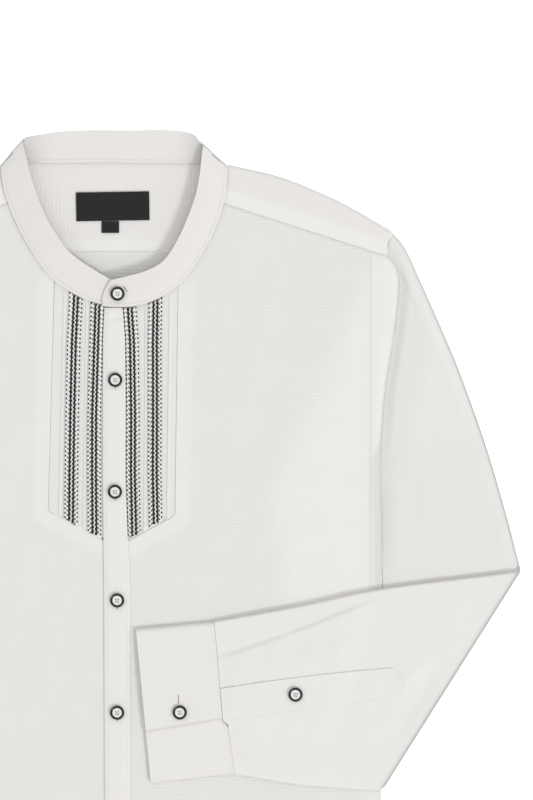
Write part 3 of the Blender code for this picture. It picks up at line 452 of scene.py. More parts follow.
# FRONT_COTTON's crease line paints shade on the front beside its side edge, below the armhole.
FRONT_COTTON = CottonFinish("front_cotton", edge_tone=0.86, lines=(
    StitchLine("strip", 0.0, 0.5, 0.04), StitchLine("armhole", 0.6, 0.7, 0.08),
    StitchLine("shoulder", 1.4, 0.5, 0.04), StitchLine("crease", 2.5, 5.0, 0.36)))
SLEEVE_COTTON = CottonFinish("sleeve_cotton", (0.81, 0.795, 0.77), darker_tone_and_shade=(0.38, 0.37, 0.36), rib_shade=0.009,
                             relief=0.00017, edge_tone=0.92, edge_lines=(SILHOUETTE_SHADE,),
                             lines=(StitchLine("armhole", 0.6, 0.6, 0.08), SILHOUETTE_SHADE))
PRESSED_COTTON = CottonFinish("pressed_cotton", (0.80, 0.785, 0.765), rib_shade=0.0, relief=0.00018,
                              edge_tone=0.86)
# COLLAR_COTTON's turn line paints shade on the band behind the neck, beside the turns where it meets the
# front parts.
COLLAR_COTTON = CottonFinish("collar_cotton", (0.80, 0.78, 0.76), rib_shade=0.0, relief=0.0002, edge_tone=0.6,
                             lines=(BAND_SEAM, StitchLine("turn", 0.0, 12.0, 0.5)))
# CUFF_COTTON's lap line paints shade along the edge of the cuff's over end.
CUFF_COTTON = replace(COLLAR_COTTON, name="cuff_cotton", edge_tone=0.94,
                      lines=(BAND_SEAM, StitchLine("lap", 0.4, 0.8, 0.7)))
YOKE_COTTON = CottonFinish("yoke_cotton", (0.82, 0.80, 0.78), rib_step=3.2, rib_shade=0.02, relief=0.0002,
                           edge_tone=0.96, edge_lines=(FAINT_SILHOUETTE_SHADE,), lines=(
                               StitchLine("shoulder", 1.4, 0.5, 0.04), StitchLine("armhole", 1.2, 0.5, 0.1),
                               FAINT_SILHOUETTE_SHADE))
WHITE_THREAD = GrainFinish("white_thread", (0.80, 0.79, 0.77))
BLACK_THREAD = GrainFinish("black_thread", (0.012, 0.012, 0.013), 0.5)
IVORY_THREAD = GrainFinish("ivory_thread", (0.93, 0.92, 0.90), 0.5)
SLIT_THREAD = GrainFinish("slit_thread", (0.16, 0.15, 0.14), 0.7)
LABEL_CLOTH = LabelFinish("black_woven")
RIM_PLASTIC = GrainFinish("rim_plastic", (0.008, 0.008, 0.009), 0.25, 400.0, 0.85, 0.00003, 0.0, 0.5)
CENTRE_PLASTIC = replace(RIM_PLASTIC, name="centre_plastic", colour=(0.88, 0.87, 0.85), roughness=0.35)
# HOLE_SHADE_PLASTIC paints shade on the walls of the buttons' holes.
HOLE_SHADE_PLASTIC = replace(RIM_PLASTIC, name="hole_plastic", colour=(0.12, 0.11, 0.10), roughness=0.6)


@dataclass
class Wall:
    """A closed wall of cloth between two grids of points, with what its finish reads at each point."""

    low: Array
    high: Array
    facts: dict[str, Array | float] = field(default_factory=dict)
    weave: Array | None = None
    closed: bool = False

    def quads(self) -> tuple[Array, Array]:
        """Work out the faces of one grid.

        Returns:
            Point numbers and weave numbers of each face's corners.
        """
        rows, columns = self.low.shape[:2]
        wide = columns if self.closed else columns - 1
        span = columns + 1 if self.closed else columns
        i, j = np.meshgrid(np.arange(rows - 1), np.arange(wide), indexing="ij")
        after = (j + 1) % columns
        corners = [i * columns + j, i * columns + after, (i + 1) * columns + after, (i + 1) * columns + j]
        places = [i * span + j, i * span + j + 1, (i + 1) * span + j + 1, (i + 1) * span + j]
        return np.stack(corners, -1).reshape(-1, 4), np.stack(places, -1).reshape(-1, 4)

    def rims(self) -> list[tuple[int, int]]:
        """Return the pairs of border places, in the direction in which the faces of the grid run."""
        rows, columns = self.low.shape[:2]
        if self.closed:
            last = (rows - 1) * columns
            first_rim = [(j, (j + 1) % columns) for j in range(columns)]
            return first_rim + [(last + (j + 1) % columns, last + j) for j in range(columns)]
        border = list(range(columns))
        border += [i * columns + columns - 1 for i in range(1, rows)]
        border += [(rows - 1) * columns + j for j in range(columns - 2, -1, -1)]
        border += [i * columns for i in range(rows - 2, 0, -1)]
        return list(zip(border, border[1:] + border[:1]))

    def build(self, name: str, finish: Finish, rounding: float = 0.4) -> bpy.types.Object:
        """Make the object, with its rims rounded.

        Args:
            name: Name of the piece.
            finish: Its finish.
            rounding: Width of the rounding along its rims.

        Returns:
            The object.
        """
        rows, columns = self.low.shape[:2]
        count = rows * columns
        corners, places = self.quads()
        rims = np.array([(a, b, b + count, a + count) for a, b in self.rims()])
        rim_places = rims[:, (0, 1, 1, 0)]
        if self.closed:
            rim_places = rim_places // columns * (columns + 1) + rim_places % columns
        faces = np.vstack([corners[:, ::-1], corners + count, rims])
        places = np.vstack([places[:, ::-1], places, rim_places])
        points = np.vstack([self.low.reshape(-1, 3), self.high.reshape(-1, 3)])
        a, b, c, d = (points[faces[:, k]] for k in range(4))
        if np.sum(a * (np.cross(b, c) + np.cross(c, d))) < 0.0:
            faces, places = faces[:, ::-1], places[:, ::-1]
        weave = self.low[:, :, :2] if self.weave is None else self.weave
        facts = {key: np.tile(np.broadcast_to(value, (rows, columns)).reshape(-1), 2)
                 for key, value in self.facts.items()}
        mesh = piece_mesh(name, points, faces, weave.reshape(-1, 2)[places.reshape(-1)], facts)
        # Cotton takes a darker copy of its finish on steep faces and rounded rims: painted shade along its
        # edges.
        if isinstance(finish, CottonFinish):
            made = add_object(name, mesh, finish, finish.edge())
            mark_steep(mesh, 0.8)
        else:
            made = add_object(name, mesh, finish)
        round_rims(made, rounding)
        return made


def piece_mesh(name: str, points: Array, faces: Array, weave: Array,
               facts: dict[str, Array]) -> bpy.types.Mesh:
    """Make a mesh.

    Args:
        name: Name of the mesh.
        points: Its points in millimetres.
        faces: Its faces, with four corners each.
        weave: Weave coordinates of the faces' corners, in millimetres.
        facts: Values at its points, by attribute name.

    Returns:
        The mesh, in metres and in the frame's place.
    """
    mesh = bpy.data.meshes.new(name)
    mesh.from_pydata(((points + (0.0, ROW_SHIFT, 0.0)) * MM).tolist(), [], faces.tolist())
    mesh.uv_layers.new(name="weave").data.foreach_set("uv", (weave * MM).astype(np.float32).ravel())
    for key, values in facts.items():
        mesh.attributes.new(key, "FLOAT", "POINT").data.foreach_set("value", values.astype(np.float32))
    return mesh


def linked(name: str, data: bpy.types.ID) -> bpy.types.Object:
    """Return a new object of the scene that holds this mesh, light or camera."""
    made = bpy.data.objects.new(name, data)
    bpy.context.scene.collection.objects.link(made)
    return made


def add_object(name: str, mesh: bpy.types.Mesh, *finishes: Finish) -> bpy.types.Object:
    """Link an object with smooth shading and its materials."""
    mesh.shade_smooth()
    mesh.set_sharp_from_angle(angle=SHARP)
    for finish in finishes:
        mesh.materials.append(finish.build())
    return linked(name, mesh)


def settled(piece: bpy.types.Object) -> bpy.types.Mesh:
    """Return a plain mesh of an object with its modifiers applied."""
    bpy.context.view_layer.update()
    return bpy.data.meshes.new_from_object(piece.evaluated_get(bpy.context.evaluated_depsgraph_get()))


def mark_steep(mesh: bpy.types.Mesh, level: float) -> None:
    """Give the second finish, on cloth a darker copy that paints shade, to the faces whose unit normal rises
    less than this.
    """
    normals = np.zeros(len(mesh.polygons) * 3)
    mesh.polygons.foreach_get("normal", normals)
    mesh.polygons.foreach_set("material_index", (np.abs(normals[2::3]) < level).astype(np.int32))


def round_rims(piece: bpy.types.Object, width: float) -> None:
    """Round the sharp rims of a wall by this width in millimetres."""
    rim = piece.modifiers.new("rounded_rims", "BEVEL")
    rim.limit_method = "ANGLE"
    rim.angle_limit = SHARP
    rim.width = width * MM
    rim.segments = 2
    rim.use_clamp_overlap = True
    # The rounded faces take the last finish: on cloth, the darker copy that paints shade along the rims.
    rim.material = len(piece.data.materials) - 1


class Surface:
    """Looks up the height of a piece's upper or lower face."""

    def __init__(self, *pieces: bpy.types.Object, from_above: bool = True) -> None:
        """Index the pieces' faces."""
        points, faces = [], []
        for piece in pieces:
            start = len(points)
            points += [v.co.copy() for v in piece.data.vertices]
            faces += [[start + k for k in p.vertices] for p in piece.data.polygons]
        self.tree = BVHTree.FromPolygons(points, faces)
        self.far = 1.0 if from_above else -1.0

    def height(self, x: float, y: float) -> float:
        """Return the height at this place in millimetres, or 0 beside the pieces."""
        place = Vector((x * MM, (y + ROW_SHIFT) * MM, self.far))
        hit = self.tree.ray_cast(place, Vector((0.0, 0.0, -self.far)))[0]
        return hit.z / MM if hit else 0.0

    def drape(self, line: Array, offset: float) -> Array:
        """Lay a line on the surface.

        Args:
            line: Its points, seen from above.
            offset: How far it stays off the surface.

        Returns:
            Its points with their heights.
        """
        heights = [self.height(x, y) + offset * self.far for x, y in line]
        return np.column_stack([line, heights])

    def rest(self, flat: Array, steps: Array, offset: float) -> Array:
        """Lay a grid on the surface, by the farthest it stands out near each point.

        Args:
            flat: The grid's points, seen from above.
            steps: Places to try round each point.
            offset: How far it stays off the surface.

        Returns:
            The height of each point.
        """
        heights = np.zeros(flat.shape[:2])
        for i, j in np.ndindex(heights.shape):
            heights[i, j] = max(self.height(*(flat[i, j] + step)) * self.far for step in steps)
        return (heights + offset) * self.far


@dataclass(frozen=True)
class StitchRow:
    """Raised stitches that repeat along lines: their spacing and the size of one stitch."""

    step: float = 3.0
    length: float = 2.3
    width: float = 0.5
    height: float = 0.35
    turn: float = 0.0
    loose: float = 0.12

    def tree(self, material: bpy.types.Material) -> bpy.types.NodeTree:
        """Build the node tree that lays the stitches.

        Args:
            material: Material of the thread.

        Returns:
            The tree, with its sizes as named inputs.
        """
        tree = bpy.data.node_groups.new("stitch_row", "GeometryNodeTree")
        tree.interface.new_socket("Lines", in_out="INPUT", socket_type="NodeSocketGeometry")
        for name in ("Step", "Length", "Width", "Height", "Turn", "Looseness"):
            tree.interface.new_socket(name, in_out="INPUT", socket_type="NodeSocketFloat")
        tree.interface.new_socket("Seed", in_out="INPUT", socket_type="NodeSocketInt")
        tree.interface.new_socket("Stitches", in_out="OUTPUT", socket_type="NodeSocketGeometry")
        add = partial(add_node, tree)
        given = add("NodeGroupInput", {}).outputs
        curve = add("GeometryNodeMeshToCurve", {"Mesh": given["Lines"]})
        spaced = add("GeometryNodeResampleCurve", {"Curve": curve.outputs["Curve"], "Length": given["Step"]},
                     mode="LENGTH")
        pad = add("GeometryNodeMeshUVSphere", {"Segments": 6, "Rings": 4, "Radius": 0.5})
        size = add("ShaderNodeCombineXYZ", {0: given["Length"], 1: given["Width"], 2: given["Height"]})
        turned = add("ShaderNodeCombineXYZ", {2: given["Turn"]})
        sized = add("GeometryNodeTransform", {"Geometry": pad.outputs["Mesh"], "Scale": size.outputs[0],
                                              "Rotation": turned.outputs[0]})
        tangent = add("GeometryNodeInputTangent", {})
        facing = add("FunctionNodeAlignRotationToVector", {"Vector": tangent.outputs[0]}, axis="X")
        least = add("ShaderNodeMath", {0: 1.0, 1: given["Looseness"]}, operation="SUBTRACT")
        uneven = add("FunctionNodeRandomValue", {2: least.outputs[0], 3: 1.0, "Seed": given["Seed"]},
                     data_type="FLOAT")
        placed = add("GeometryNodeInstanceOnPoints", {
            "Points": spaced.outputs["Curve"], "Instance": sized.outputs["Geometry"],
            "Rotation": facing.outputs[0], "Scale": uneven.outputs[1]})
        real = add("GeometryNodeRealizeInstances", {"Geometry": placed.outputs["Instances"]})
        painted = add("GeometryNodeSetMaterial", {"Geometry": real.outputs["Geometry"], "Material": material})
        add("NodeGroupOutput", {"Stitches": painted.outputs["Geometry"]})
        return tree

    def sew(self, name: str, lines: list[Array], finish: Finish, seed: int = 7) -> bpy.types.Object:
        """Lay the stitches along lines and keep them as a plain mesh.

        Args:
            name: Name of the piece.
            lines: Points of each line in millimetres, with their heights.
            finish: Finish of the thread.
            seed: Number that fixes their unevenness.

        Returns:
            The object.
        """
        points, edges = [], []
        for line in lines:
            start = len(points)
            points += ((line + (0.0, ROW_SHIFT, 0.0)) * MM).tolist()
            edges += [(start + k, start + k + 1) for k in range(len(line) - 1)]
        guide_mesh = bpy.data.meshes.new(f"{name}_guide")
        guide_mesh.from_pydata(points, edges, [])
        guide = linked(f"{name}_guide", guide_mesh)
        tree = self.tree(finish.build())
        sewing = guide.modifiers.new("stitches", "NODES")
        sewing.node_group = tree
        values = {"Step": self.step * MM, "Length": self.length * MM, "Width": self.width * MM,
                  "Height": self.height * MM, "Turn": self.turn, "Looseness": self.loose, "Seed": seed}
        for socket in tree.interface.items_tree:
            if socket.name in values:
                sewing[socket.identifier] = values[socket.name]
        mesh = settled(guide)
        mesh.name = name
        bpy.data.objects.remove(guide)
        bpy.data.meshes.remove(guide_mesh)
        bpy.data.node_groups.remove(tree)
        mesh.materials.clear()
        return add_object(name, mesh, finish)


@dataclass(frozen=True)
class Cut:
    """Flat size of a piece before it was sewn: width, length and area in metres."""

    width: float
    length: float
    area: float | None = None


def keep(piece: bpy.types.Object, slot: Slot, node: str = "", cut: Cut | None = None) -> bpy.types.Object:
    """Ride a piece on the shirt, hide the CAD node that it replaces, and log it.

    Args:
        piece: The finished object.
        slot: Slot of its finish; not used.
        node: CAD node that it replaces, if any.
        cut: Its flat size, if it is a sheet of cloth; not used.

    Returns:
        The object.
    """
    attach(piece, "root")
    if node:
        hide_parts(node)
    LOG.info("%s: %d faces, for %s", piece.name, len(piece.data.polygons), node or "nothing in the frame")
    return piece


@dataclass
class Body:
    """Outlines that several pieces share."""

    side: Pairs = (
        (-56.0, 227.0), (-66.0, 223.6), (-77.0, 223.2), (-86.0, 229.0), (-97.0, 231.2), (-115.0, 230.2),
        (-150.0, 225.8), (-190.0, 219.4), (-240.0, 216.4), (UNDERARM_Y, 217.0), (-345.0, 217.6),
        (-514.0, 217.6), (HEM_Y - 10.0, 220.0))
    armhole_levels: tuple[float, ...] = (-66.0, -77.0, -86.0, -97.0, -115.0, -150.0, -190.0, -240.0)
    front_yoke_seam: Pairs = ((88.6, -33.3), (223.2, -77.0))
    curl: float = 14.0
    curl_from: float = -345.0
    curl_fade: float = 40.0
    centre_split: float = 4.2
    strip_x: float = 209.0
    inset_point: float = -313.0
    inset_slope: float = 0.543
    inset_corner: float = 3.0
    inset_width: dict[int, float] = field(default_factory=lambda: {LEFT: 48.6, RIGHT: 54.8})
    inset_lean: dict[int, float] = field(default_factory=lambda: {LEFT: 2.6, RIGHT: -5.0})
    button_band: tuple[tuple[float, float, float], ...] = (
        (-118.5, -9.2, 6.1), (-145.0, -10.3, 8.2), (-194.0, -10.5, 8.6), (-260.0, -10.5, 8.5),
        (-309.0, -9.9, 10.4), (-330.0, -9.6, 11.6), (-358.0, -9.4, 12.0), (-450.0, -9.0, 12.3),
        (-522.0, -8.7, 12.6), (HEM_Y, -8.5, 12.8))
    doubled_edge: Pairs = (
        (216.0, -70.0), (213.0, -77.0), (190.0, -135.0), (165.0, -190.0), (142.0, -240.0), (131.0, -268.0),
        (133.0, -300.0), (137.0, -330.0), (143.0, -380.0), (150.0, -470.0), (156.0, -600.0), (158.0, -770.0))
    over_front: Pairs = (
        (13.0, -384.0), (84.0, -371.0), (152.0, -359.0), (222.0, -345.0), (224.0, -520.0), (140.0, -512.0),
        (98.0, -506.0), (26.0, -514.0))

    def __post_init__(self) -> None:
        """Draw the smooth curve of the side once."""
        curve = along(self.side, 400)
        self.side_curve = curve[np.argsort(-curve[:, 0])]

    def side_x(self, y: Array | float) -> Array | float:
        """Return the distance of the body's outer edge from the middle."""
        return np.interp(-np.asarray(y), -self.side_curve[:, 0], self.side_curve[:, 1])

    def band_edges(self, y: Array | float) -> tuple[Array, ...]:
        """Return the button band's left and right edge at this height."""
        table = np.array(self.button_band)
        return tuple(np.interp(-np.asarray(y), -table[:, 0], table[:, k]) for k in (1, 2))

    def inset_edge_y(self, distance: Array | float) -> Array | float:
        """Return the inset's slanted lower edge at this distance from the middle."""
        return self.inset_point + self.inset_slope * (distance - self.centre_split)

    def inset_turn(self, side: int) -> Array:
        """Return both ends of the inset's turned corner."""
        across = self.inset_width[side] - self.inset_corner
        y = float(self.inset_edge_y(across))
        return np.array(((side * across, y), (side * self.inset_width[side], y + self.inset_corner)))

    def inset_top(self, side: int, collar: "Collar") -> Array:
        """Return the place where the inset's outer edge meets the collar's seam."""
        x = side * (self.inset_width[side] + self.inset_lean[side])
        return np.array((x, collar.seam_y(x)))

    def inner_edge(self, side: int) -> float:
        """Return where a front's inner edge lies under the button band."""
        return self.centre_split + side * SEAM_GAP / 2

    def front_low(self, x: Array, y: Array) -> Array:
        """Return the underside of the fronts: level, and curling down to the back along the sides."""
        drop = FRONT_LOW - (BACK_TOP + SEAM_GAP)
        inside = (self.side_x(y) - np.abs(x)) / self.curl
        return FRONT_LOW - drop * (1.0 - ease(inside)) * ease((self.curl_from - y) / self.curl_fade)

    def doubled(self, x: Array, y: Array) -> Array:
        """Return how far, from 0 to 1, a place lies over the turned-under side of the body."""
        distance, sign = from_line(np.abs(x), y, self.doubled_edge)
        below = 1.0 - 0.8 * ease((-492.0 - y) / 18.0)
        return ease(0.5 + sign * distance / 30.0) * below

    def covered(self, x: Array, y: Array, collar: "Collar") -> Array:
        """Return 1 under what lies on the fronts and 0 from a finger's width beside it."""
        outline = np.array(self.over_front + self.over_front[:1])
        distance, _ = from_line(x, y, outline)
        signs = [np.sign((bx - ax) * (y - ay) - (by - ay) * (x - ax))
                 for (ax, ay), (bx, by) in zip(outline, outline[1:])]
        within = np.all(np.array(signs) < 0.0, axis=0)
        sleeve = np.where(within, 1.0, 1.0 - ease(distance / 14.0))
        band = 1.0 - ease((np.abs(x - 1.5) - 14.0) / 10.0)
        neck = 1.0 - ease((collar.from_seam(x, y) - 2.0) / 12.0)
        return np.maximum(np.maximum(sleeve, band), neck)


@dataclass
class Collar:
    """The band collar: ribs from its seam to its upper edge, from the under end to the over end."""

    body: Body
    cloth: float = 1.6
    ribs: int = 260
    columns: int = 15
    # Places across of the band's turns, from which the painted shade behind the neck starts.
    turns: Pair = (-73.0, 69.0)
    end_bulge: float = 2.6
    end_ribs: int = 16
    table: tuple[tuple[float, ...], ...] = (
        (4.0, -117.8, 5.9, 9.0, -102.5, 6.4), (-12.1, -115.6, 5.9, -5.5, -94.5, 6.9),
        (-29.1, -109.7, 5.9, -18.0, -87.2, 8.2), (-48.8, -97.3, 5.9, -33.0, -76.8, 9.5),
        (-61.9, -82.8, 5.9, -41.5, -68.0, 10.5), (-77.7, -56.6, 5.9, -56.0, -44.8, 11.2),
        (-88.8, -30.3, 5.9, -65.2, -21.7, 11.6), (-92.2, -15.6, 5.9, -69.6, -7.0, 11.8),
        (-93.4, -6.6, 5.4, -73.6, 9.5, 11.2), (-93.6, -2.8, 4.1, -75.2, 17.6, 9.2),
        (-89.5, -0.5, 2.8, -71.5, 20.6, 7.2), (-76.0, 0.0, 2.4, -61.9, 22.8, 6.7),
        (-45.0, 0.2, 2.4, -42.2, 25.6, 7.0), (-16.0, 0.4, 2.4, -16.0, 26.4, 7.3),
        (14.0, 0.2, 2.4, 14.0, 26.2, 7.3), (44.0, -0.2, 2.4, 42.0, 26.6, 7.0),
        (74.0, -0.4, 2.4, 60.5, 24.2, 6.7), (87.0, -1.0, 2.8, 67.4, 18.6, 7.2),
        (91.4, -3.6, 4.1, 71.4, 13.6, 9.2), (91.6, -7.0, 5.4, 70.6, 6.0, 11.2),
        (91.2, -15.0, 5.9, 69.2, -8.0, 11.8), (89.0, -31.7, 5.9, 66.0, -25.5, 11.6),
        (81.1, -55.3, 5.9, 59.0, -45.5, 11.2), (69.3, -77.6, 5.9, 50.5, -64.0, 10.5),
        (54.9, -97.3, 5.9, 39.5, -80.3, 9.8), (36.5, -110.4, 6.1, 25.5, -88.4, 9.4),
        (18.1, -116.9, 6.9, 12.5, -92.3, 9.4), (3.7, -118.1, 7.8, 2.5, -94.8, 9.5),
        (-10.4, -117.5, 7.8, -3.2, -96.0, 9.2))
    right_front: tuple[int, int] = (0, 9)
    left_front: tuple[int, int] = (19, 28)
    cut: Cut = Cut(0.47, 0.036, 0.0150)

    def front_seam(self, side: int) -> tuple[Array, Array]:
        """Follow the collar's seam on one front.

        Args:
            side: LEFT or RIGHT.

        Returns:
            Points of the seam, and the unit direction from each to the upper edge.
        """
        first, last = self.left_front if side > 0 else self.right_front
        ribs = np.array(self.table)[first:last]
        if side > 0:
            ribs = ribs[::-1]
        fine = along(ribs[:, (0, 1, 3, 4)], 40)
        toward = fine[:, 2:] - fine[:, :2]
        return fine[:, :2], toward / np.linalg.norm(toward, axis=1)[:, None]

    def seam_y(self, x: Array | float) -> Array | float:
        """Return the height of the collar's seam on the front at this distance from the middle."""
        result = np.zeros(np.shape(x))
        for side in (LEFT, RIGHT):
            points, _ = self.front_seam(side)
            order = np.argsort(points[:, 0])
            found = np.interp(x, points[order, 0], points[order, 1])
            result = np.where(np.asarray(x) * side > 0, found, result)
        return result if np.ndim(x) else float(result)

    def from_seam(self, x: Array, y: Array) -> Array:
        """Return the distance of places on the fronts from the collar's seam."""
        distances = [from_line(x, y, self.front_seam(side)[0])[0] for side in (LEFT, RIGHT)]
        return np.minimum(*distances)

    def build(self) -> bpy.types.Object:
        """Make the band."""
        ribs = along(self.table, self.ribs)
        share = np.linspace(0.0, 1.0, self.columns)[None, :, None]
        middle = ribs[:, None, :3] + (ribs[:, None, 3:] - ribs[:, None, :3]) * share
        bulge = self.end_bulge * np.sin(np.pi * share[0, :, 0])
        for k in range(self.end_ribs):
            middle[k, :, 0] += bulge * (1.0 - k / self.end_ribs)
            middle[-1 - k, :, 0] -= bulge * (1.0 - k / self.end_ribs)
        normal = np.cross(np.gradient(middle, axis=0), np.gradient(middle, axis=1))
        normal /= np.linalg.norm(normal, axis=2)[:, :, None]
        length = travelled(middle[:, self.columns // 2])
        deep = np.linalg.norm(ribs[:, 3:] - ribs[:, :3], axis=1)
        across = deep[:, None] * share[0, :, 0][None, :]
        weave = np.stack([np.repeat(length[:, None], self.columns, 1), across], -1)
        puff = 0.35 * np.sin(np.pi * share[0, :, 0])[None, :, None] * normal
        wave = ripple(weave[:, :, 0], across, 46.0, 0.5)[:, :, None] * np.sin(np.pi * share) * normal
        half = self.cloth / 2
        # The turn distance places the painted shade behind the neck.
        wall = Wall(middle - normal * half - puff + wave, middle + normal * half + puff + wave,
                    {"seam": across, "turn": self.from_turn(middle)}, weave)
        return wall.build("collar_band", COLLAR_COTTON, 0.6)

    def from_turn(self, middle: Array) -> Array:
        """Return how far the part behind the neck lies from its nearer turn, and FAR elsewhere: where the
        painted shade of the turn line falls.
        """
        x, y = middle[:, :, 0], middle[:, :, 1]
        inward = np.minimum(x - self.turns[0], self.turns[1] - x)
        behind = np.minimum(y[:, :1], y[:, -1:] - 20.0) > -1.5
        return np.where(behind, np.clip(inward, 0.0, 22.0), FAR)

    def stitch_line(self, distance: float) -> Array:
        """Return a line that follows the seam edge at this distance."""
        ribs = along(self.table, self.ribs)
        toward = ribs[:, 3:] - ribs[:, :3]
        toward /= np.linalg.norm(toward, axis=1)[:, None]
        return ribs[:, :2] + toward[:, :2] * distance


@dataclass
class Back:
    """The back panel, which lies on the surface."""

    body: Body
    hem: float = -753.0
    yoke_seam: float = -72.0
    spacing: float = 5.0
    columns: int = 88
    # Centre and sideways squeeze of the painted shade in the neck opening.
    neck_y: float = -106.0
    neck_stretch: float = 0.6
    cut: Cut = Cut(0.445, 0.683, 0.298)

    def build(self) -> bpy.types.Object:
        """Make the panel."""
        rows = int((self.yoke_seam - self.hem) / self.spacing)
        y = np.linspace(self.hem, self.yoke_seam - SEAM_GAP, rows)[:, None]
        share = np.linspace(-1.0, 1.0, self.columns)[None, :]
        grid = np.zeros((rows, share.shape[1], 3))
        grid[:, :, 0] = self.body.side_x(y) * share
        grid[:, :, 1] = y
        high = grid + (0.0, 0.0, CLOTH)
        # Distance from the bottom of the neck opening, which places the painted shade there.
        neck = np.hypot(grid[:, :, 0] * self.neck_stretch, grid[:, :, 1] - self.neck_y)
        return Wall(grid, high, {"under": 0.0, "plain": 0.0, "neck": neck}).build("back_panel", BODY_COTTON)


@dataclass
class Yoke:
    """The yoke: flat behind the neck and folded over both shoulders to the front seams."""

    body: Body
    foot_y: float = -72.0
    foot_x: float = 222.8
    bend: float = 1.8
    rise: float = 14.0
    right_extra: float = 2.1
    shoulder: Pairs = (
        (92.4, -1.3), (134.9, -11.5), (173.2, -26.8), (198.0, -39.4), (226.8, -56.4))
    neck_end: Pairs = ((92.4, -4.2), (91.6, -12.0), (88.6, -20.0), (85.2, -32.2))
    neck_stations: tuple[float, ...] = (0.0, 0.3, 0.6, 1.0)
    bottom_rows: int = 14
    bend_rows: int = 8
    top_rows: int = 16
    columns: int = 44
    cut: Cut = Cut(0.455, 0.125, 0.0370)

    def neck_place(self, share: float, extra: float) -> Array:
        """Return a point of the folded part's neck end, from the fold to the front seam."""
        ends = np.array(self.neck_end)
        place = [np.interp(share, self.neck_stations, ends[:, k]) for k in range(2)]
        return np.array(place) + (extra * (1.0 - share), 0.0)

    def shoulder_grid(self, side: int) -> Array:
        """Lay one shoulder's points.

        Args:
            side: LEFT or RIGHT.

        Returns:
            Points in columns from the neck to the armhole, each from the back's seam to the front's.
        """
        low, high, turn_z = CLOTH / 2, FRONT_LOW + CLOTH / 2, FRONT_TOP / 2
        extra = self.right_extra if side < 0 else 0.0
        fold = np.array(self.shoulder)
        fold[0, 0] += extra
        outline = along(fold, self.columns)
        seam_line = np.array(self.body.front_yoke_seam)
        grid = []
        for u, share in enumerate(np.linspace(0.0, 1.0, self.columns)):
            edge = outline[u]
            step = unit(outline[min(u + 1, self.columns - 1)] - outline[max(u - 1, 0)])
            outward = np.array((-step[1], step[0]))
            centre = edge - outward * (self.bend + CLOTH / 2)
            if share == 1.0:
                centre[0] = min(centre[0], float(self.body.side_x(centre[1])))
            foot = np.array((fold[0, 0] + (self.foot_x - fold[0, 0]) * share, self.foot_y))
            column = [(*(foot + (centre - foot) * t), low) for t in np.linspace(0.0, 1.0, self.bottom_rows)]
            for turn in np.linspace(0.0, math.pi, self.bend_rows + 1)[1:-1]:
                place = centre + outward * self.bend * math.sin(turn)
                column.append((*place, turn_z - self.bend * math.cos(turn)))
            seam = seam_line[0] + (seam_line[1] - seam_line[0]) * share
            for t in np.linspace(0.0, 1.0, self.top_rows):
                place = centre + (seam - centre) * t
                straight = outline[0] + (seam_line[0] - outline[0]) * t
                if t > 0.0:
                    place = place + (self.neck_place(t, extra) - straight) * (1.0 - share) ** 6
                if share == 1.0:
                    place[0] = float(self.body.side_x(place[1]))
                swell = 0.5 * math.sin(math.pi * t) * math.sin(math.pi * share) ** 0.5
                column.append((*place, high + swell))
            grid.append([(side * p[0], p[1], p[2]) for p in column])
        return np.array(grid)

    def centre_grid(self, left: Array, right: Array) -> Array:
        """Lay the flat part behind the neck between the two shoulders."""
        across = np.linspace(right[0, 0, 0], left[0, 0, 0], 60)
        grid = np.zeros((len(across), self.bottom_rows, 3))
        end_y = left[0, self.bottom_rows - 1, 1]
        top_y = end_y + (UNDERLAP - end_y) * ease((left[0, 0, 0] - np.abs(across)) / self.rise)
        for i, t in enumerate(np.linspace(0.0, 1.0, self.bottom_rows)):
            grid[:, i] = np.column_stack([across, self.foot_y + (top_y - self.foot_y) * t,
                                          np.full(len(across), CLOTH / 2)])
        grid[0] = right[0, :self.bottom_rows]
        grid[-1] = left[0, :self.bottom_rows]
        return grid

    def build(self) -> bpy.types.Object:
        """Make the yoke as one folded sheet with a wall."""
        left, right = self.shoulder_grid(LEFT), self.shoulder_grid(RIGHT)
        points, faces, weave = [], [], []
        facts = {key: [] for key in ("shoulder", "armhole", "outline", "under", "plain")}
        start = 0
        for grid, turned in ((left, False), (right, True), (self.centre_grid(left, right), False)):
            wide, tall = grid.shape[:2]
            x, y, on_top = np.abs(grid[:, :, 0]), grid[:, :, 1], grid[:, :, 2] > 3.0
            travel = np.cumsum(np.linalg.norm(np.diff(grid, axis=1, prepend=grid[:, :1]), axis=2), axis=1)
            i, j = np.meshgrid(np.arange(wide - 1), np.arange(tall - 1), indexing="ij")
            corner = [i * tall + j, (i + 1) * tall + j, (i + 1) * tall + j + 1, i * tall + j + 1]
            quads = np.stack(corner, -1).reshape(-1, 4) + start
            faces.append(quads[:, ::-1] if turned else quads)
            points.append(grid.reshape(-1, 3))
            weave.append(np.stack([travel, grid[:, :, 0]], -1).reshape(-1, 2))
            distance, _ = from_line(x, y, self.body.front_yoke_seam)
            foot = 1.0 - ease((np.where(on_top, distance - 2.0, y - self.foot_y) - 8.0) / 4.5)
            # The outline distance from the shoulder fold places the faint painted shade along it.
            found = (np.where(on_top, distance, 30.0), self.body.side_x(y) - x,
                     from_line(x, y, along(self.shoulder, 60))[0], foot,
                     np.maximum(foot, np.where(on_top, 0.7, 0.0)))
            for values, value in zip(facts.values(), found):
                values.append(value.reshape(-1))
            start += wide * tall
        faces = np.vstack(faces)
        mesh = piece_mesh("yoke_cloth", np.vstack(points), faces, np.vstack(weave)[faces.reshape(-1)],
                          {key: np.concatenate(values) for key, values in facts.items()})
        shape = bmesh.new()
        shape.from_mesh(mesh)
        bmesh.ops.remove_doubles(shape, verts=shape.verts, dist=0.01 * MM)
        bmesh.ops.recalc_face_normals(shape, faces=shape.faces)
        shape.to_mesh(mesh)
        shape.free()
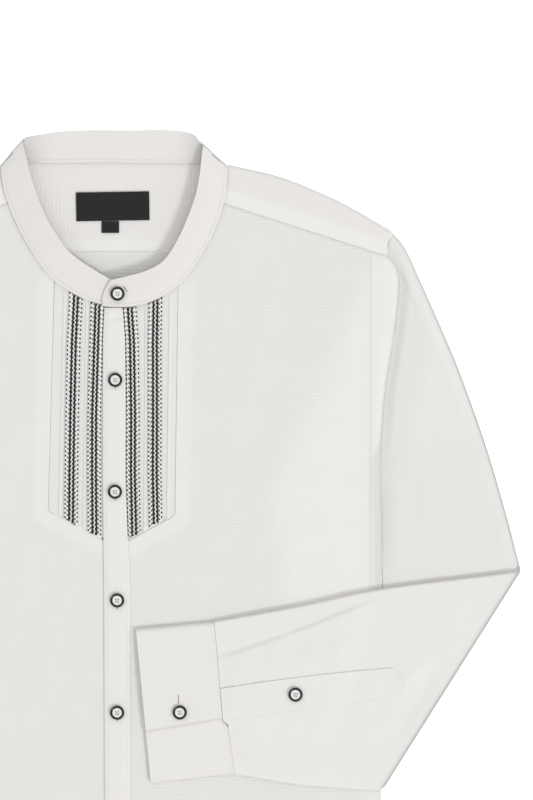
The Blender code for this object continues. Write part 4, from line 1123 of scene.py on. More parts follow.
        # The yoke's steep faces and rounded rims take the darker copy of its finish: painted shade.
        made = add_object("yoke_cloth", mesh, YOKE_COTTON, YOKE_COTTON.edge())
        mark_steep(mesh, 0.75)
        wall = made.modifiers.new("wall", "SOLIDIFY")
        wall.thickness = CLOTH * MM
        wall.offset = 0.0
        wall.use_even_offset = True
        wall.use_rim = True
        round_rims(made, 0.4)
        return made


@dataclass
class Front:
    """One front panel, cut out round the inset, from the hem to the yoke seam."""

    body: Body
    collar: Collar
    side: int
    spacing: float = 3.6
    overhang: float = 1.0
    border: float = 12.5
    strip_rise: float = 0.7
    creases: tuple[Crease, ...] = (
        Crease((196.0, -96.0), (150.0, -176.0), 13.0, 0.35, 5.0),
        Crease((120.0, -120.0), (96.0, -250.0), 17.0, 0.3, -6.0),
        Crease((206.0, -150.0), (196.0, -290.0), 11.0, -0.35, 3.0),
        Crease((176.0, -230.0), (160.0, -340.0), 12.0, 0.3, 4.0),
        Crease((66.0, -330.0), (150.0, -348.0), 8.0, 0.25, -3.0),
        Crease((70.0, -540.0), (66.0, -700.0), 15.0, 0.35, 6.0),
        Crease((128.0, -545.0), (140.0, -735.0), 18.0, -0.4, -8.0),
        Crease((186.0, -550.0), (176.0, -720.0), 14.0, 0.5, 4.0),
        Crease((40.0, -600.0), (110.0, -690.0), 12.0, 0.25, 5.0),
    )
    cut: Cut = Cut(0.218, 0.700, 0.139)

    def outline(self) -> tuple[list[Array], list[Array]]:
        """Pair the panel's inner and outer edge.

        Returns:
            Matching points of the inner edge and of the outer one, from the hem up.
        """
        body, side = self.body, self.side
        inner = body.inner_edge(side)
        low, turned = body.inset_turn(side)
        top = body.inset_top(side, self.collar)
        bottom_y = float(body.inset_edge_y(body.centre_split)) - TOUCH
        inside = [(inner, y) for y in np.linspace(HEM_Y, bottom_y, 8)]
        inside.append(((low[0] + inner) / 2, (low[1] + bottom_y - TOUCH) / 2))
        inside.append((low[0] + side * TOUCH * 0.5, low[1] - TOUCH))
        inside.append((turned[0] + side * TOUCH, turned[1] - TOUCH * 0.5))
        inside += [tuple(turned + (top - turned) * t + (side * TOUCH, 0.0)) for t in (0.25, 0.5, 0.75)]
        seam, toward = self.collar.front_seam(side)
        under = seam + toward * UNDERLAP
        corner_x = abs(top[0]) + TOUCH
        start = int(np.argmax(np.abs(under[:, 0]) > corner_x))
        neck_y = np.interp(corner_x, np.abs(under[start - 1:start + 1, 0]), under[start - 1:start + 1, 1])
        neck = under[start:]
        neck = neck[neck[:, 1] < body.front_yoke_seam[0][1] - 3.0]
        neck = np.vstack([(side * corner_x, neck_y), neck])
        end = (side * (body.front_yoke_seam[0][0] - UNDERLAP), body.front_yoke_seam[0][1] + 1.15 - TOUCH)
        inside += [tuple(p) for p in along(np.vstack([neck, end]), 6)]
        levels = [*np.linspace(HEM_Y, -380.0, 7), -345.0, UNDERARM_Y - 24.0, UNDERARM_Y, -268.0, -240.0,
                  -215.0, -190.0, -150.0, -115.0, -97.0, -86.0]
        while len(levels) < len(inside) - 1:
            wide = max(range(10, len(levels) - 1), key=lambda i: levels[i + 1] - levels[i])
            levels.insert(wide + 1, (levels[wide] + levels[wide + 1]) / 2)
        top_x, top_y = body.front_yoke_seam[1]
        outside = [(0.0, y) for y in levels[:len(inside) - 1]] + [(side * top_x, top_y - TOUCH)]
        return [np.array(p) for p in inside], [np.array(p) for p in outside]

    def grid(self) -> Array:
        """Lay the panel's points, seen from above."""
        inside, outside = self.outline()
        rows_in, rows_out = [inside[0]], [outside[0]]
        for k in range(len(inside) - 1):
            reach = max(np.linalg.norm(inside[k + 1] - inside[k]), abs(outside[k + 1][1] - outside[k][1]))
            steps = max(1, int(round(reach / self.spacing)))
            for t in np.linspace(0.0, 1.0, steps + 1)[1:]:
                rows_in.append(inside[k] + (inside[k + 1] - inside[k]) * t)
                rows_out.append(outside[k] + (outside[k + 1] - outside[k]) * t)
        rows_in, rows_out = np.array(rows_in), np.array(rows_out)
        on_side = np.arange(len(rows_out)) < len(rows_out) - 1
        hang = self.overhang * ease((rows_out[:, 1] + 420.0) / 60.0)
        side_x = self.side * (self.body.side_x(rows_out[:, 1]) + hang)
        rows_out[:, 0] = np.where(on_side, side_x, rows_out[:, 0])
        shares = np.concatenate([np.linspace(0.0, 0.93, 54), np.linspace(0.93, 1.0, 8)[1:]])[None, :, None]
        flat = rows_in[:, None] + (rows_out - rows_in)[:, None] * shares
        return flat if self.side > 0 else flat[:, ::-1]

    def build(self) -> bpy.types.Object:
        """Make the panel with its soft creases."""
        flat = self.grid()
        x, y = flat[:, :, 0], flat[:, :, 1]
        body, side = self.body, self.side
        free = 1.0 - body.covered(x, y, self.collar)
        doubled = body.doubled(x, y)
        armhole = np.where(y > UNDERARM_Y - 40.0, body.side_x(y) - np.abs(x), FAR)
        inset_line = [(body.inner_edge(side), body.inset_point), *body.inset_turn(side),
                      body.inset_top(side, self.collar)]
        inset, _ = from_line(x, y, inset_line)
        shoulder, _ = from_line(x, y, np.array(body.front_yoke_seam) * (side, 1.0))
        edges = ease(armhole / 10.0) * ease(shoulder / 8.0) * ease(inset / 8.0)
        strip = np.where(y > -352.0, body.strip_x - np.abs(x), FAR)
        within = np.clip(armhole / np.maximum(armhole - strip, 0.5), 0.0, 1.0) * (strip < 0.0)
        relief = lifted(self.creases, np.abs(x), y) + ripple(x, y, 62.0, 0.32) + 0.3 * doubled
        relief = relief + 0.12 * ripple(x, y, 19.0, 1.0)
        raised = np.maximum(relief, -0.9) * free * edges
        lower = ease((-190.0 - y) / 60.0)
        rise = self.strip_rise * (1.0 - 0.8 * lower)
        raised = raised + rise * np.sin(np.pi * within) * free * ease(shoulder / 6.0)
        low = body.front_low(np.sign(x) * np.minimum(np.abs(x), body.side_x(y)), y) + raised
        low_grid = np.dstack([flat, low])
        beyond = ease((inset - self.border + 2.0) / 4.0)
        plain = np.maximum(1.0 - beyond, 1.0 - ease(strip / 1.2 + 0.5))
        under = np.maximum(np.maximum(doubled, 1.0 - ease(strip / 3.0 + 0.5)), 0.6 - 0.6 * beyond)
        # Distance from the side edge, kept far away above the lower armhole and below the forearm: it places
        # the painted shade of the crease line.
        crease = body.side_x(y) - np.abs(x) + 20.0 * (1.0 - lower) + 20.0 * ease((-356.0 - y) / 20.0)
        facts = {"under": under, "plain": plain, "armhole": armhole, "strip": strip, "shoulder": shoulder,
                 "crease": crease}
        name = "left_front_panel" if side > 0 else "right_front_panel"
        return Wall(low_grid, low_grid + (0.0, 0.0, CLOTH), facts).build(name, FRONT_COTTON)


@dataclass
class Inset:
    """One tucked inset, whose upper end lies under the collar."""

    body: Body
    collar: Collar
    side: int
    tuck_profile: Pairs = (
        (-1.5, 0.0), (-1.05, 0.08), (-0.95, 0.5), (-0.6, 0.6), (0.0, 0.5), (0.9, 0.15), (1.7, 0.0))
    tuck_end: float = 1.4
    rows: int = 90
    cut: Cut = Cut(0.062, 0.215, 0.0098)

    @property
    def tucks(self) -> Pair:
        """Return the distances of the tucks from the middle."""
        return (24.2, 42.9) if self.side > 0 else (25.8, 45.6)

    def build(self) -> bpy.types.Object:
        """Make the inset."""
        body, side = self.body, self.side
        inner = body.inner_edge(side)
        full = abs(side * body.inset_width[side] - inner)
        places = list(np.linspace(0.0, full, 30))
        for tuck in self.tucks:
            middle = tuck - side * inner
            places = [p for p in places if abs(p - middle) > 2.2]
            places += [middle + side * offset for offset, _ in self.tuck_profile]
        places = np.sort(np.array(places))
        profile = np.array(self.tuck_profile)
        lift = np.zeros(len(places))
        for tuck in self.tucks:
            offsets = side * (places - (tuck - side * inner))
            lift = lift + np.interp(offsets, profile[:, 0], profile[:, 1], left=0.0, right=0.0)
        low, turned = body.inset_turn(side)
        end = body.inset_top(side, self.collar) - (0.0, self.tuck_end)
        path = [low] + [turned + (end - turned) * t for t in np.linspace(0.0, 1.0, self.rows - 1)]
        rises = [(place[1] - low[1]) / (end[1] - low[1]) for place in path]
        grid = np.zeros((self.rows + 2, len(places), 3))
        for j, share in enumerate(places / full):
            foot = max(float(body.inset_edge_y(abs(inner + (low[0] - inner) * share))), body.inset_point)
            for i in range(self.rows + 2):
                x = inner + (path[min(i, self.rows - 1)][0] - inner) * share
                top = self.collar.seam_y(x if abs(x) > 0.01 else 0.01) - self.tuck_end
                if i < self.rows:
                    y = foot + (top - foot) * rises[i]
                else:
                    y = top + (0.9, self.tuck_end + UNDERLAP)[i - self.rows]
                grid[i, j] = (x, y, FRONT_LOW)
        high = grid + (0.0, 0.0, CLOTH)
        fade = ease((self.rows - 1 - np.arange(self.rows)) / 3.0)
        high[:self.rows, :, 2] += lift[None, :] * fade[:, None]
        name = "left_inset" if side > 0 else "right_inset"
        return Wall(grid, high, {"under": 0.0, "plain": 1.0}).build(name, PRESSED_COTTON, 0.3)


@dataclass
class ButtonBand:
    """The band down the middle of the front."""

    body: Body
    cloth: float = 1.4
    fold: Crease = Crease((-6.0, -130.5), (6.5, -124.5), 2.6, -0.8, 1.0)
    cut: Cut = Cut(0.022, 0.632, 0.0132)

    def build(self) -> bpy.types.Object:
        """Make the band."""
        y = np.concatenate([np.linspace(HEM_Y, -140.0, 200)[:-1], np.linspace(-140.0, -118.5, 20)])
        left, right = self.body.band_edges(y)
        share = np.array([0.0, 0.04, 0.12, 0.3, 0.5, 0.7, 0.88, 0.96, 1.0])
        grid = np.zeros((len(y), len(share), 3))
        grid[:, :, 0] = left[:, None] + (right - left)[:, None] * share[None, :]
        grid[:, :, 1] = y[:, None]
        waves = ripple(grid[:, :, 0] * 3.0, grid[:, :, 1], 52.0, 1.0)
        swell = 0.25 * np.sin(np.pi * share)[None, :] + 0.25 * waves ** 2
        grid[:, :, 2] = ON_FRONT
        high = grid + (0.0, 0.0, self.cloth)
        edge = np.minimum(grid[:, :, 0] - left[:, None], right[:, None] - grid[:, :, 0])
        high[:, :, 2] += swell + self.fold.lift(grid[:, :, 0], grid[:, :, 1]) - 0.6 * (1.0 - ease(edge / 1.8))
        facts = {"under": 0.5, "plain": 1.0, "seam": edge, "lap": FAR}
        return Wall(grid, high, facts).build("button_band", CUFF_COTTON)


@dataclass
class Tapes:
    """Four embroidered tapes on the insets, from the collar's seam to the insets' slanted edge."""

    body: Body
    collar: Collar
    cloth: float = 1.0
    half_width: float = 5.8
    rows: int = 90
    step: float = 3.56
    slant: float = math.radians(42.0)
    middles: tuple[tuple[float, ...], ...] = (
        (-112.0, -32.2, -14.4, 11.4, 33.0), (-147.0, -33.9, -15.6, 13.7, 32.4),
        (-207.0, -35.2, -17.3, 14.6, 32.5), (-254.0, -35.9, -17.4, 14.4, 32.3),
        (-310.0, -36.4, -17.0, 15.6, 33.4))
    cut: Cut = Cut(0.0116, 0.205, 0.0021)

    def middle_x(self, tape: int, y: Array | float) -> Array | float:
        """Return the middle of one tape at this height."""
        table = np.array(self.middles)
        return np.interp(-np.asarray(y), -table[:, 0], table[:, tape + 1])

    def line(self, tape: int, offset: float) -> Array:
        """Follow a tape at an offset from its middle.

        Args:
            tape: Number of the tape, from 0.
            offset: Distance from its middle, above 0 towards the wearer's left.

        Returns:
            Points from its lower end up, seen from above.
        """
        table = np.array(self.middles)
        upper = self.collar.seam_y(table[0, tape + 1] + offset) - SEAM_GAP - 0.4
        lower = float(self.body.inset_edge_y(abs(table[-1, tape + 1] + offset))) + 1.0
        y = np.linspace(lower, upper, self.rows)
        x = self.middle_x(tape, y) + offset
        left, right = self.body.band_edges(y)
        x = np.minimum(x, left - SEAM_GAP - 0.3) if tape < 2 else np.maximum(x, right + SEAM_GAP + 0.3)
        return np.column_stack([x, y])

    def build(self, tape: int) -> list[bpy.types.Object]:
        """Make one tape and its embroidery.

        Args:
            tape: Number of the tape, from 0.

        Returns:
            The tape's cloth and its stitches.
        """
        number = tape + 1
        offsets = np.linspace(-self.half_width, self.half_width, 7)
        flat = np.stack([self.line(tape, offset) for offset in offsets], axis=1)
        grid = np.dstack([flat, np.full(flat.shape[:2], ON_FRONT)])
        base = Wall(grid, grid + (0.0, 0.0, self.cloth), {"under": 1.0, "plain": 1.0})
        cloth = base.build(f"tape_{number}_cloth", PRESSED_COTTON, 0.3)

        def laid(offset: float, rise: float, phase: float = 0.0, grain: float = self.step) -> Array:
            """Return a line at this offset from the tape's middle, from the first whole step on."""
            edge = self.line(tape, offset)
            first = (math.ceil((edge[0, 1] + 0.6) / grain - phase) + phase) * grain
            y = np.linspace(first, edge[-1, 1] - 0.8, 320)
            height = np.full(len(y), ON_FRONT + self.cloth + rise)
            return np.column_stack([np.interp(y, edge[:, 1], edge[:, 0]), y, height])

        black, white = [], []
        turn, lag = (self.slant, -0.5) if tape % 2 else (-self.slant, 0.5)
        band = StitchRow(self.step / 4, 1.3, 2.6, 0.5, loose=0.0)
        dots = StitchRow(self.step, 2.1, 1.5, 0.5, loose=0.05)
        for side in (-1, 1):
            teeth = StitchRow(self.step, 2.5, 1.1, 0.5, side * turn, 0.05)
            leaf = StitchRow(self.step, 2.8, 1.15, 0.6, side * turn, 0.05)
            black.append(band.sew("band", [laid(side * 1.35, 0.1, 0.0, band.step)], BLACK_THREAD))
            black.append(teeth.sew("teeth", [laid(side * 3.1, 0.1)], BLACK_THREAD))
            black.append(dots.sew("dots", [laid(side * 4.9, 0.1, lag)], BLACK_THREAD))
            white.append(leaf.sew("leaves", [laid(side * 3.75, 0.2, 0.5)], IVORY_THREAD))
        middle = StitchRow(self.step / 8, 0.95, 1.05, 0.7, loose=0.0)
        wave = laid(0.0, 0.45, 0.0, middle.step)
        wave[:, 0] += 0.6 * np.sin(2.0 * np.pi * wave[:, 1] / self.step)
        white.append(middle.sew("middle", [wave], IVORY_THREAD))
        return [cloth, join(f"tape_{number}_black_stitches", black),
                join(f"tape_{number}_white_stitches", white)]


def join(name: str, pieces: list[bpy.types.Object]) -> bpy.types.Object:
    """Join pieces that share one finish into a single object.

    Args:
        name: Name of the result.
        pieces: The pieces, which are used up.

    Returns:
        The object.
    """
    shape = bmesh.new()
    for piece in pieces:
        shape.from_mesh(piece.data)
    mesh = bpy.data.meshes.new(name)
    shape.to_mesh(mesh)
    shape.free()
    mesh.materials.append(pieces[0].data.materials[0])
    mesh.shade_smooth()
    for piece in pieces:
        bpy.data.objects.remove(piece)
    return linked(name, mesh)


@dataclass
class Sleeve:
    """What both sleeves share: flattened rings with an outer and an inner skin."""

    body: Body
    head: float = 3.2
    thick: float = 4.6
    parts: int = 5
    turns: int = 6
    overarm: Pairs = ()
    underarm: Pairs = ()
    creases: tuple[Crease, ...] = ()
    dip: float = 2.0
    swell: float = 0.5
    limits: Pair = (-0.9, 1.3)
    cut: Cut = Cut(0.49, 0.55, 0.115)

    def armhole_shares(self) -> Array:
        """Return how far down the armhole each of its levels lies, from 0 to 1."""
        top = self.overarm[0][1]
        return np.array([(top - y) / (top - UNDERARM_Y) for y in self.body.armhole_levels])

    def ring(self, start: Array, end: Array, normal: Array, thickness: float, shares: Array,
             middle: Callable[[float], Array] | None = None) -> tuple[Array, Array, Array]:
        """Lay one flattened ring.

        Args:
            start: Its first edge.
            end: Its other edge.
            normal: Direction of its front face.
            thickness: Its whole thickness.
            shares: Places of the points of one face, from 0 to 1 across it.
            middle: Point of its middle line at a share, if the line isn't straight.

        Returns:
            Outer and inner points, all round: front face, far edge, back face, near edge. Then the shares of
            one face's points.
        """
        middle = middle or (lambda share: start + (end - start) * share)
        width = np.linalg.norm(end - start)
        radius = thickness / 2
        near, far = radius / width, 1.0 - radius / width
        first, last = middle(near), middle(far)
        into = unit(first - middle(near * 3))
        out = unit(last - middle(1 - near * 3))
        line = subdivided(np.concatenate([[near], np.clip(shares, near, far), [far]]), self.parts)
        centre = np.array([middle(share) for share in line])
        angles = np.linspace(0.0, math.pi, self.turns + 1)[1:-1]

        def skin(inset: float) -> Array:
            """Return the ring's points, all round, this far inside its outer face."""
            reach = radius - inset
            far_turn = [last + reach * (out * math.sin(a) + normal * math.cos(a)) for a in angles]
            near_turn = [first + reach * (into * math.sin(a) - normal * math.cos(a)) for a in angles]
            return np.vstack([centre + normal * reach, far_turn, centre[::-1] - normal * reach, near_turn])
        return skin(0.0), skin(CLOTH), line

    def arm_ring(self, over: Array, under: Array, height: float, thickness: float,
                 bend: float) -> tuple[Array, Array, Array]:
        """Lay one ring that is bent like the armhole.

        Args:
            over: Its end on the upper edge, seen from above.
            under: Its end on the lower edge.
            height: Height of its middle.
            thickness: Its whole thickness.
            bend: How far it follows the armhole, from 0 to 1.

        Returns:
            Its outer and inner points and the shares of one face's points.
        """
        start, end = np.array((*over, height)), np.array((*under, height))
        top, foot = np.array(self.overarm[0]), np.array(self.underarm[0])

        def middle(share: float) -> Array:
            """Return the point of the bent middle line at this share."""
            place = top + (foot - top) * share
            offset = float(self.body.side_x(place[1])) + SEAM_GAP + 0.1 - place[0]
            return start + (end - start) * share + (offset * bend, 0.0, 0.0)
        return self.ring(start, end, UP, thickness, self.armhole_shares(), middle)

    def puff(self, x: Array, y: Array, free: Array, away: Array, sunk: Array | float = 1.0,
             clear: Array | float = 1.0) -> Array:
        """Work out how far the front skin stands out.

        Args:
            x: Places across.
            y: Places along.
            free: How far each place may move, from 0 to 1.
            away: Its distance from the armhole.
            sunk: Share of the dip beside the armhole.
            clear: How far from 0 to 1 the place is from what covers it.

        Returns:
            The lift at each place.
        """
        dip = self.dip * ease((away - 2.0) / 9.0) - 0.5 * np.exp(-((away - 3.0) / 3.0) ** 2)
        relief = lifted(self.creases, x, y) + ripple(x, y, 55.0, self.swell) + ripple(x, y, 17.0, 0.12)
        creased = np.clip(relief, *self.limits) * ease(away / 14.0) * (0.25 + 0.75 * clear)
        return free * (dip * sunk + creased)

    def shell(self, name: str, rings: list[Ring],
              facts: Callable[[Array], dict[str, Array]]) -> bpy.types.Object:
        """Make the sleeve from its rings.

        Args:
            name: Name of the piece.
            rings: Outer and inner points of each ring.
            facts: Gives the attributes from the outer points.

        Returns:
            The object.
        """
        outer = np.array([r[0] for r in rings])
        inner = np.array([r[1] for r in rings])
        closed_loop = np.concatenate([outer, outer[:, :1]], axis=1)
        steps = np.diff(closed_loop, axis=1, prepend=closed_loop[:, :1])
        around = np.cumsum(np.linalg.norm(steps, axis=2), axis=1)
        half = outer.shape[1] // 2
        around = around - around[:, half:half + 1]
        travel = travelled(outer[:, :half].mean(axis=1))
        weave = np.stack([around, np.repeat(travel[:, None], around.shape[1], 1)], -1)
        return Wall(inner, outer, facts(outer), weave, closed=True).build(name, SLEEVE_COTTON, 0.35)


@dataclass
class FoldedSleeve(Sleeve):
    """The left sleeve: down to the elbow, over the slanted fold, and back across the front."""

    fold_gap: float = 0.8
    upper_rows: int = 80
    fold_rows: int = 10
    fore_rows: int = 74
    overarm: Pairs = (
        (227.8, -57.2), (238.6, -71.0), (249.7, -95.7), (267.7, -136.7), (282.4, -172.2), (303.3, -230.8),
        (320.0, -287.3), (332.3, -334.3))
    underarm: Pairs = (
        (218.2, UNDERARM_Y), (218.8, -345.0), (218.8, -400.0), (218.8, -514.2))
    fore_top: Pairs = (
        (332.3, -334.3), (217.7, -348.8), (152.1, -362.4), (81.1, -375.4))
    fore_under: Pairs = (
        (218.8, -514.2), (178.3, -511.7), (143.9, -508.4), (98.3, -500.6))
    pleat_step: float = 1.6
    pleat_edge: float = 0.034
    pleat_fade: float = 0.5
    pleat_at_cuff: float = 0.222
    pleat_at_end: float = 0.022
    first_share: float = 0.015
    pleat_length: float = 0.6
    stagger: float = 4.1
    stagger_from: float = 0.645
    stagger_to: float = 0.675
    cuff_direction: Pair = (-66.0, -6.9)
    dip: float = 2.4
    swell: float = 0.4
    limits: Pair = (-0.7, 1.4)
    creases: tuple[Crease, ...] = (
        Crease((246.0, -112.0), (262.0, -196.0), 9.0, 0.5, 3.0),
        Crease((240.0, -220.0), (286.0, -300.0), 13.0, 0.45, -5.0),
        Crease((262.0, -160.0), (300.0, -260.0), 14.0, -0.35, 5.0),
        Crease((236.0, -300.0), (316.0, -322.0), 9.0, 0.5, 3.0),
        Crease((230.0, -74.0), (236.0, -104.0), 4.0, 0.7, 1.0),
    )
    fore_creases: tuple[Crease, ...] = (
        Crease((100.0, -470.0), (210.0, -482.0), 9.0, -0.9, 3.0),
        Crease((108.0, -410.0), (212.0, -394.0), 8.0, 0.9, -4.0),
        Crease((120.0, -396.0), (196.0, -384.0), 5.0, -0.6, 3.0),
        Crease((236.0, -372.0), (300.0, -352.0), 10.0, 0.8, 3.0),
        Crease((222.0, -486.0), (274.0, -406.0), 9.0, -0.9, 5.0),
        Crease((204.0, -470.0), (240.0, -450.0), 6.0, 0.7, 2.0),
        Crease((232.0, -430.0), (262.0, -392.0), 6.0, 0.6, -3.0),
        Crease((146.0, -462.0), (190.0, -500.0), 7.0, 0.7, -3.0),
        Crease((104.0, -486.0), (150.0, -466.0), 5.0, 0.6, 2.0),
        Crease((150.0, -492.0), (220.0, -500.0), 6.0, 0.6, 2.0),
        Crease((86.0, -407.0), (84.0, -429.0), 3.0, -1.0, 0.8),
        Crease((92.0, -462.0), (104.0, -470.0), 2.5, 0.8, 0.0),
        Crease((93.0, -480.0), (110.0, -478.0), 2.5, 0.8, 0.0),
        Crease((95.0, -492.0), (108.0, -497.0), 2.5, 0.7, 0.0),
    )

    def before_fold(self, corner: Array, neighbour: Array, outward: Array, depth: float) -> Array:
        """Return the point on the edge from corner to neighbour that lies this deep inside the fold."""
        direction = unit(neighbour - corner)
        return corner - direction * depth / float(direction @ outward)

    def fore_shares(self, t: float) -> tuple[Array, float]:
        """Place the forearm's points across it.

        Args:
            t: How far from the fold to the cuff, from 0 to 1.

        Returns:
            Shares of the points, of which two follow the pleat and two the cuff's overlap, and the pleat's.
        """
        begin = self.armhole_shares()
        done = max(0.0, t - 1.0 + self.pleat_length) / self.pleat_length
        line = self.pleat_at_end + (self.pleat_at_cuff - self.pleat_at_end) * done
        rest = line + self.pleat_edge
        later = [rest + (self.stagger_from - rest) * k for k in (0.33, 0.66)]
        before = [self.first_share + (line - self.first_share) * k for k in (0.35, 0.7)]
        finish = np.array([*before, line, rest, *later, self.stagger_from, self.stagger_to])
        return begin + (finish - begin) * ease(t / (1.0 - self.pleat_length)), line

    def build(self) -> bpy.types.Object:
        """Make the sleeve."""
        arm, under = np.array(self.overarm), np.array(self.underarm)
        top, low_edge = np.array(self.fore_top), np.array(self.fore_under)
        along_fold = unit(under[-1] - arm[-1])
        outward = np.array((-along_fold[1], along_fold[0]))
        radius = (self.thick + self.fold_gap) / 2
        depth = radius + self.thick / 2
        axis_z = self.thick + self.fold_gap / 2
        fold_start, fold_end = arm[-1].copy(), under[-1].copy()
        arm[-1] = self.before_fold(fold_start, arm[-2], outward, depth)
        under[-1] = self.before_fold(fold_end, under[-2], outward, depth)
        top[0] = self.before_fold(fold_start, top[1], outward, depth)
        low_edge[0] = self.before_fold(fold_end, low_edge[1], outward, depth)
        shares = self.armhole_shares()
        outward3 = np.array((*outward, 0.0))
        rings = self.upper_part(along(arm, self.upper_rows), along(under, self.upper_rows))
        for turn in np.linspace(0.0, math.pi, self.fold_rows + 1)[1:]:
            k = turn / math.pi
            shift = outward3 * radius * math.sin(turn) + UP * (axis_z - radius * math.cos(turn))
            normal = UP * math.cos(turn) - outward3 * math.sin(turn)
            start = np.array((*(arm[-1] + (top[0] - arm[-1]) * k), 0.0)) + shift
            end = np.array((*(under[-1] + (low_edge[0] - under[-1]) * k), 0.0)) + shift
            rings.append(self.ring(start, end, normal, self.thick, shares))
        rings += self.fore_part(along(top, self.fore_rows), along(low_edge, self.fore_rows), axis_z + radius)
        return self.shell("left_sleeve_cloth", rings, self.facts)

    def upper_part(self, over: Array, under: Array) -> list[Ring]:
        """Lay the rings from the armhole to the elbow."""
        rings = []
        for i in range(self.upper_rows):
            t = i / (self.upper_rows - 1)
            thickness = self.head + (self.thick - self.head) * ease(t / 0.3)
            outer, inner, line = self.arm_ring(over[i], under[i], thickness / 2, thickness, (1.0 - t) ** 5)
            count = len(line)
            x, y = outer[:count, 0], outer[:count, 1]
            width = np.linalg.norm(under[i] - over[i])
            free = ease(np.minimum(line, 1.0 - line) * width / 16.0) * ease((1.0 - t) / 0.08)
            clear = ease((self.fore_height(x, y) + 2.0) / 12.0)
            sunk = clear * (1.0 - 0.65 * ease((-190.0 - y) / 60.0))
            lift = self.puff(x, y, free, x - self.body.side_x(y) - 0.4, sunk, clear)
            outer[:count, 2] += lift
            inner[:count, 2] += lift
            rings.append((outer, inner))
        return rings

    def fore_height(self, x: Array, y: Array) -> Array:
        """Return how far a place lies above the forearm's upper edge, below 0 where it lies under it."""
        top = np.array(self.fore_top)
        order = np.argsort(top[:, 0])
        return y - np.interp(x, top[order, 0], top[order, 1])

    def fore_part(self, over: Array, under: Array, base: float) -> list[Ring]:
        """Lay the rings from the elbow to the cuff."""
        rings = []
        low = base - self.thick / 2
        setback = np.array((*unit(np.array(self.cuff_direction)), 0.0)) * self.stagger
        for i in range(1, self.fore_rows):
            t = i / (self.fore_rows - 1)
            shares, line_share = self.fore_shares(t)
            thickness = self.thick - 0.8 * ease((t - 0.8) / 0.2)
            start = np.array((*over[i], low + thickness / 2))
            end = np.array((*under[i], low + thickness / 2))
            outer, inner, line = self.ring(start, end, -UP, thickness, shares)
            count = len(line)
            upper = slice(count + self.turns - 1, 2 * count + self.turns - 1)
            share = line[::-1]
            at_cuff = ease((t - 0.93) / 0.07)
            fade = ease((t - 1.0 + self.pleat_length) / self.pleat_length * 4.0) * (1.0 - 0.6 * at_cuff)
            pleat = self.pleat_step * fade * ease((1.0 - share) / self.pleat_fade)
            pleat = pleat * ease((share - line_share) / self.pleat_edge)
            x, y = outer[upper, 0], outer[upper, 1]
            free = np.sin(np.pi * np.clip(share, 0.0, 1.0)) ** 0.5 * ease(t / 0.08) * (1.0 - at_cuff)
            relief = lifted(self.fore_creases, x, y) + ripple(x, y, 48.0, 0.45) + ripple(x, y, 15.0, 0.12)
            swell = 0.9 * math.sin(math.pi * t) * np.sin(np.pi * share)
            gathers = 0.22 * np.sin(x * 0.35 + y * 0.62) * ease((t - 0.86) / 0.1)
            lift = swell + pleat + (np.clip(relief, -0.8, 1.2) + gathers) * free
            for skin in (outer, inner):
                skin[upper, 2] += lift
                back = np.interp(share, (0.0, self.stagger_from, self.stagger_to, 1.0), (0.0, 1.0, 0.1, 0.1))
                skin[upper] += setback * (back * ease((t - 0.94) / 0.06))[:, None]
            rings.append((outer, inner))
        return rings

    def facts(self, outer: Array) -> dict[str, Array]:
        """Give the attributes at the sleeve's points."""
        x, y, z = outer[:, :, 0], outer[:, :, 1], outer[:, :, 2]
        rows = np.arange(outer.shape[0])[:, None]
        armhole = np.where(rows < self.upper_rows, x - self.body.side_x(y) - SEAM_GAP, FAR)
        # The outline distance places the painted shade along the sleeve's outer silhouettes; on the forearm
        # its band is wider.
        outline, _ = from_line(x, y, np.vstack([along(self.overarm, 80), self.underarm[-1]]))
        outline = outline * np.where(rows < self.upper_rows, 1.0, 0.5)
        # The lighter doubled tone grows with the height of the outer skin, so the forearm over the fold and
        # the highest swells come out lighter.
        return {"armhole": np.abs(armhole), "under": np.clip((z - 5.0) / 3.0, 0.0, 1.0) * 0.35, "plain": 0.0,
                "outline": outline}


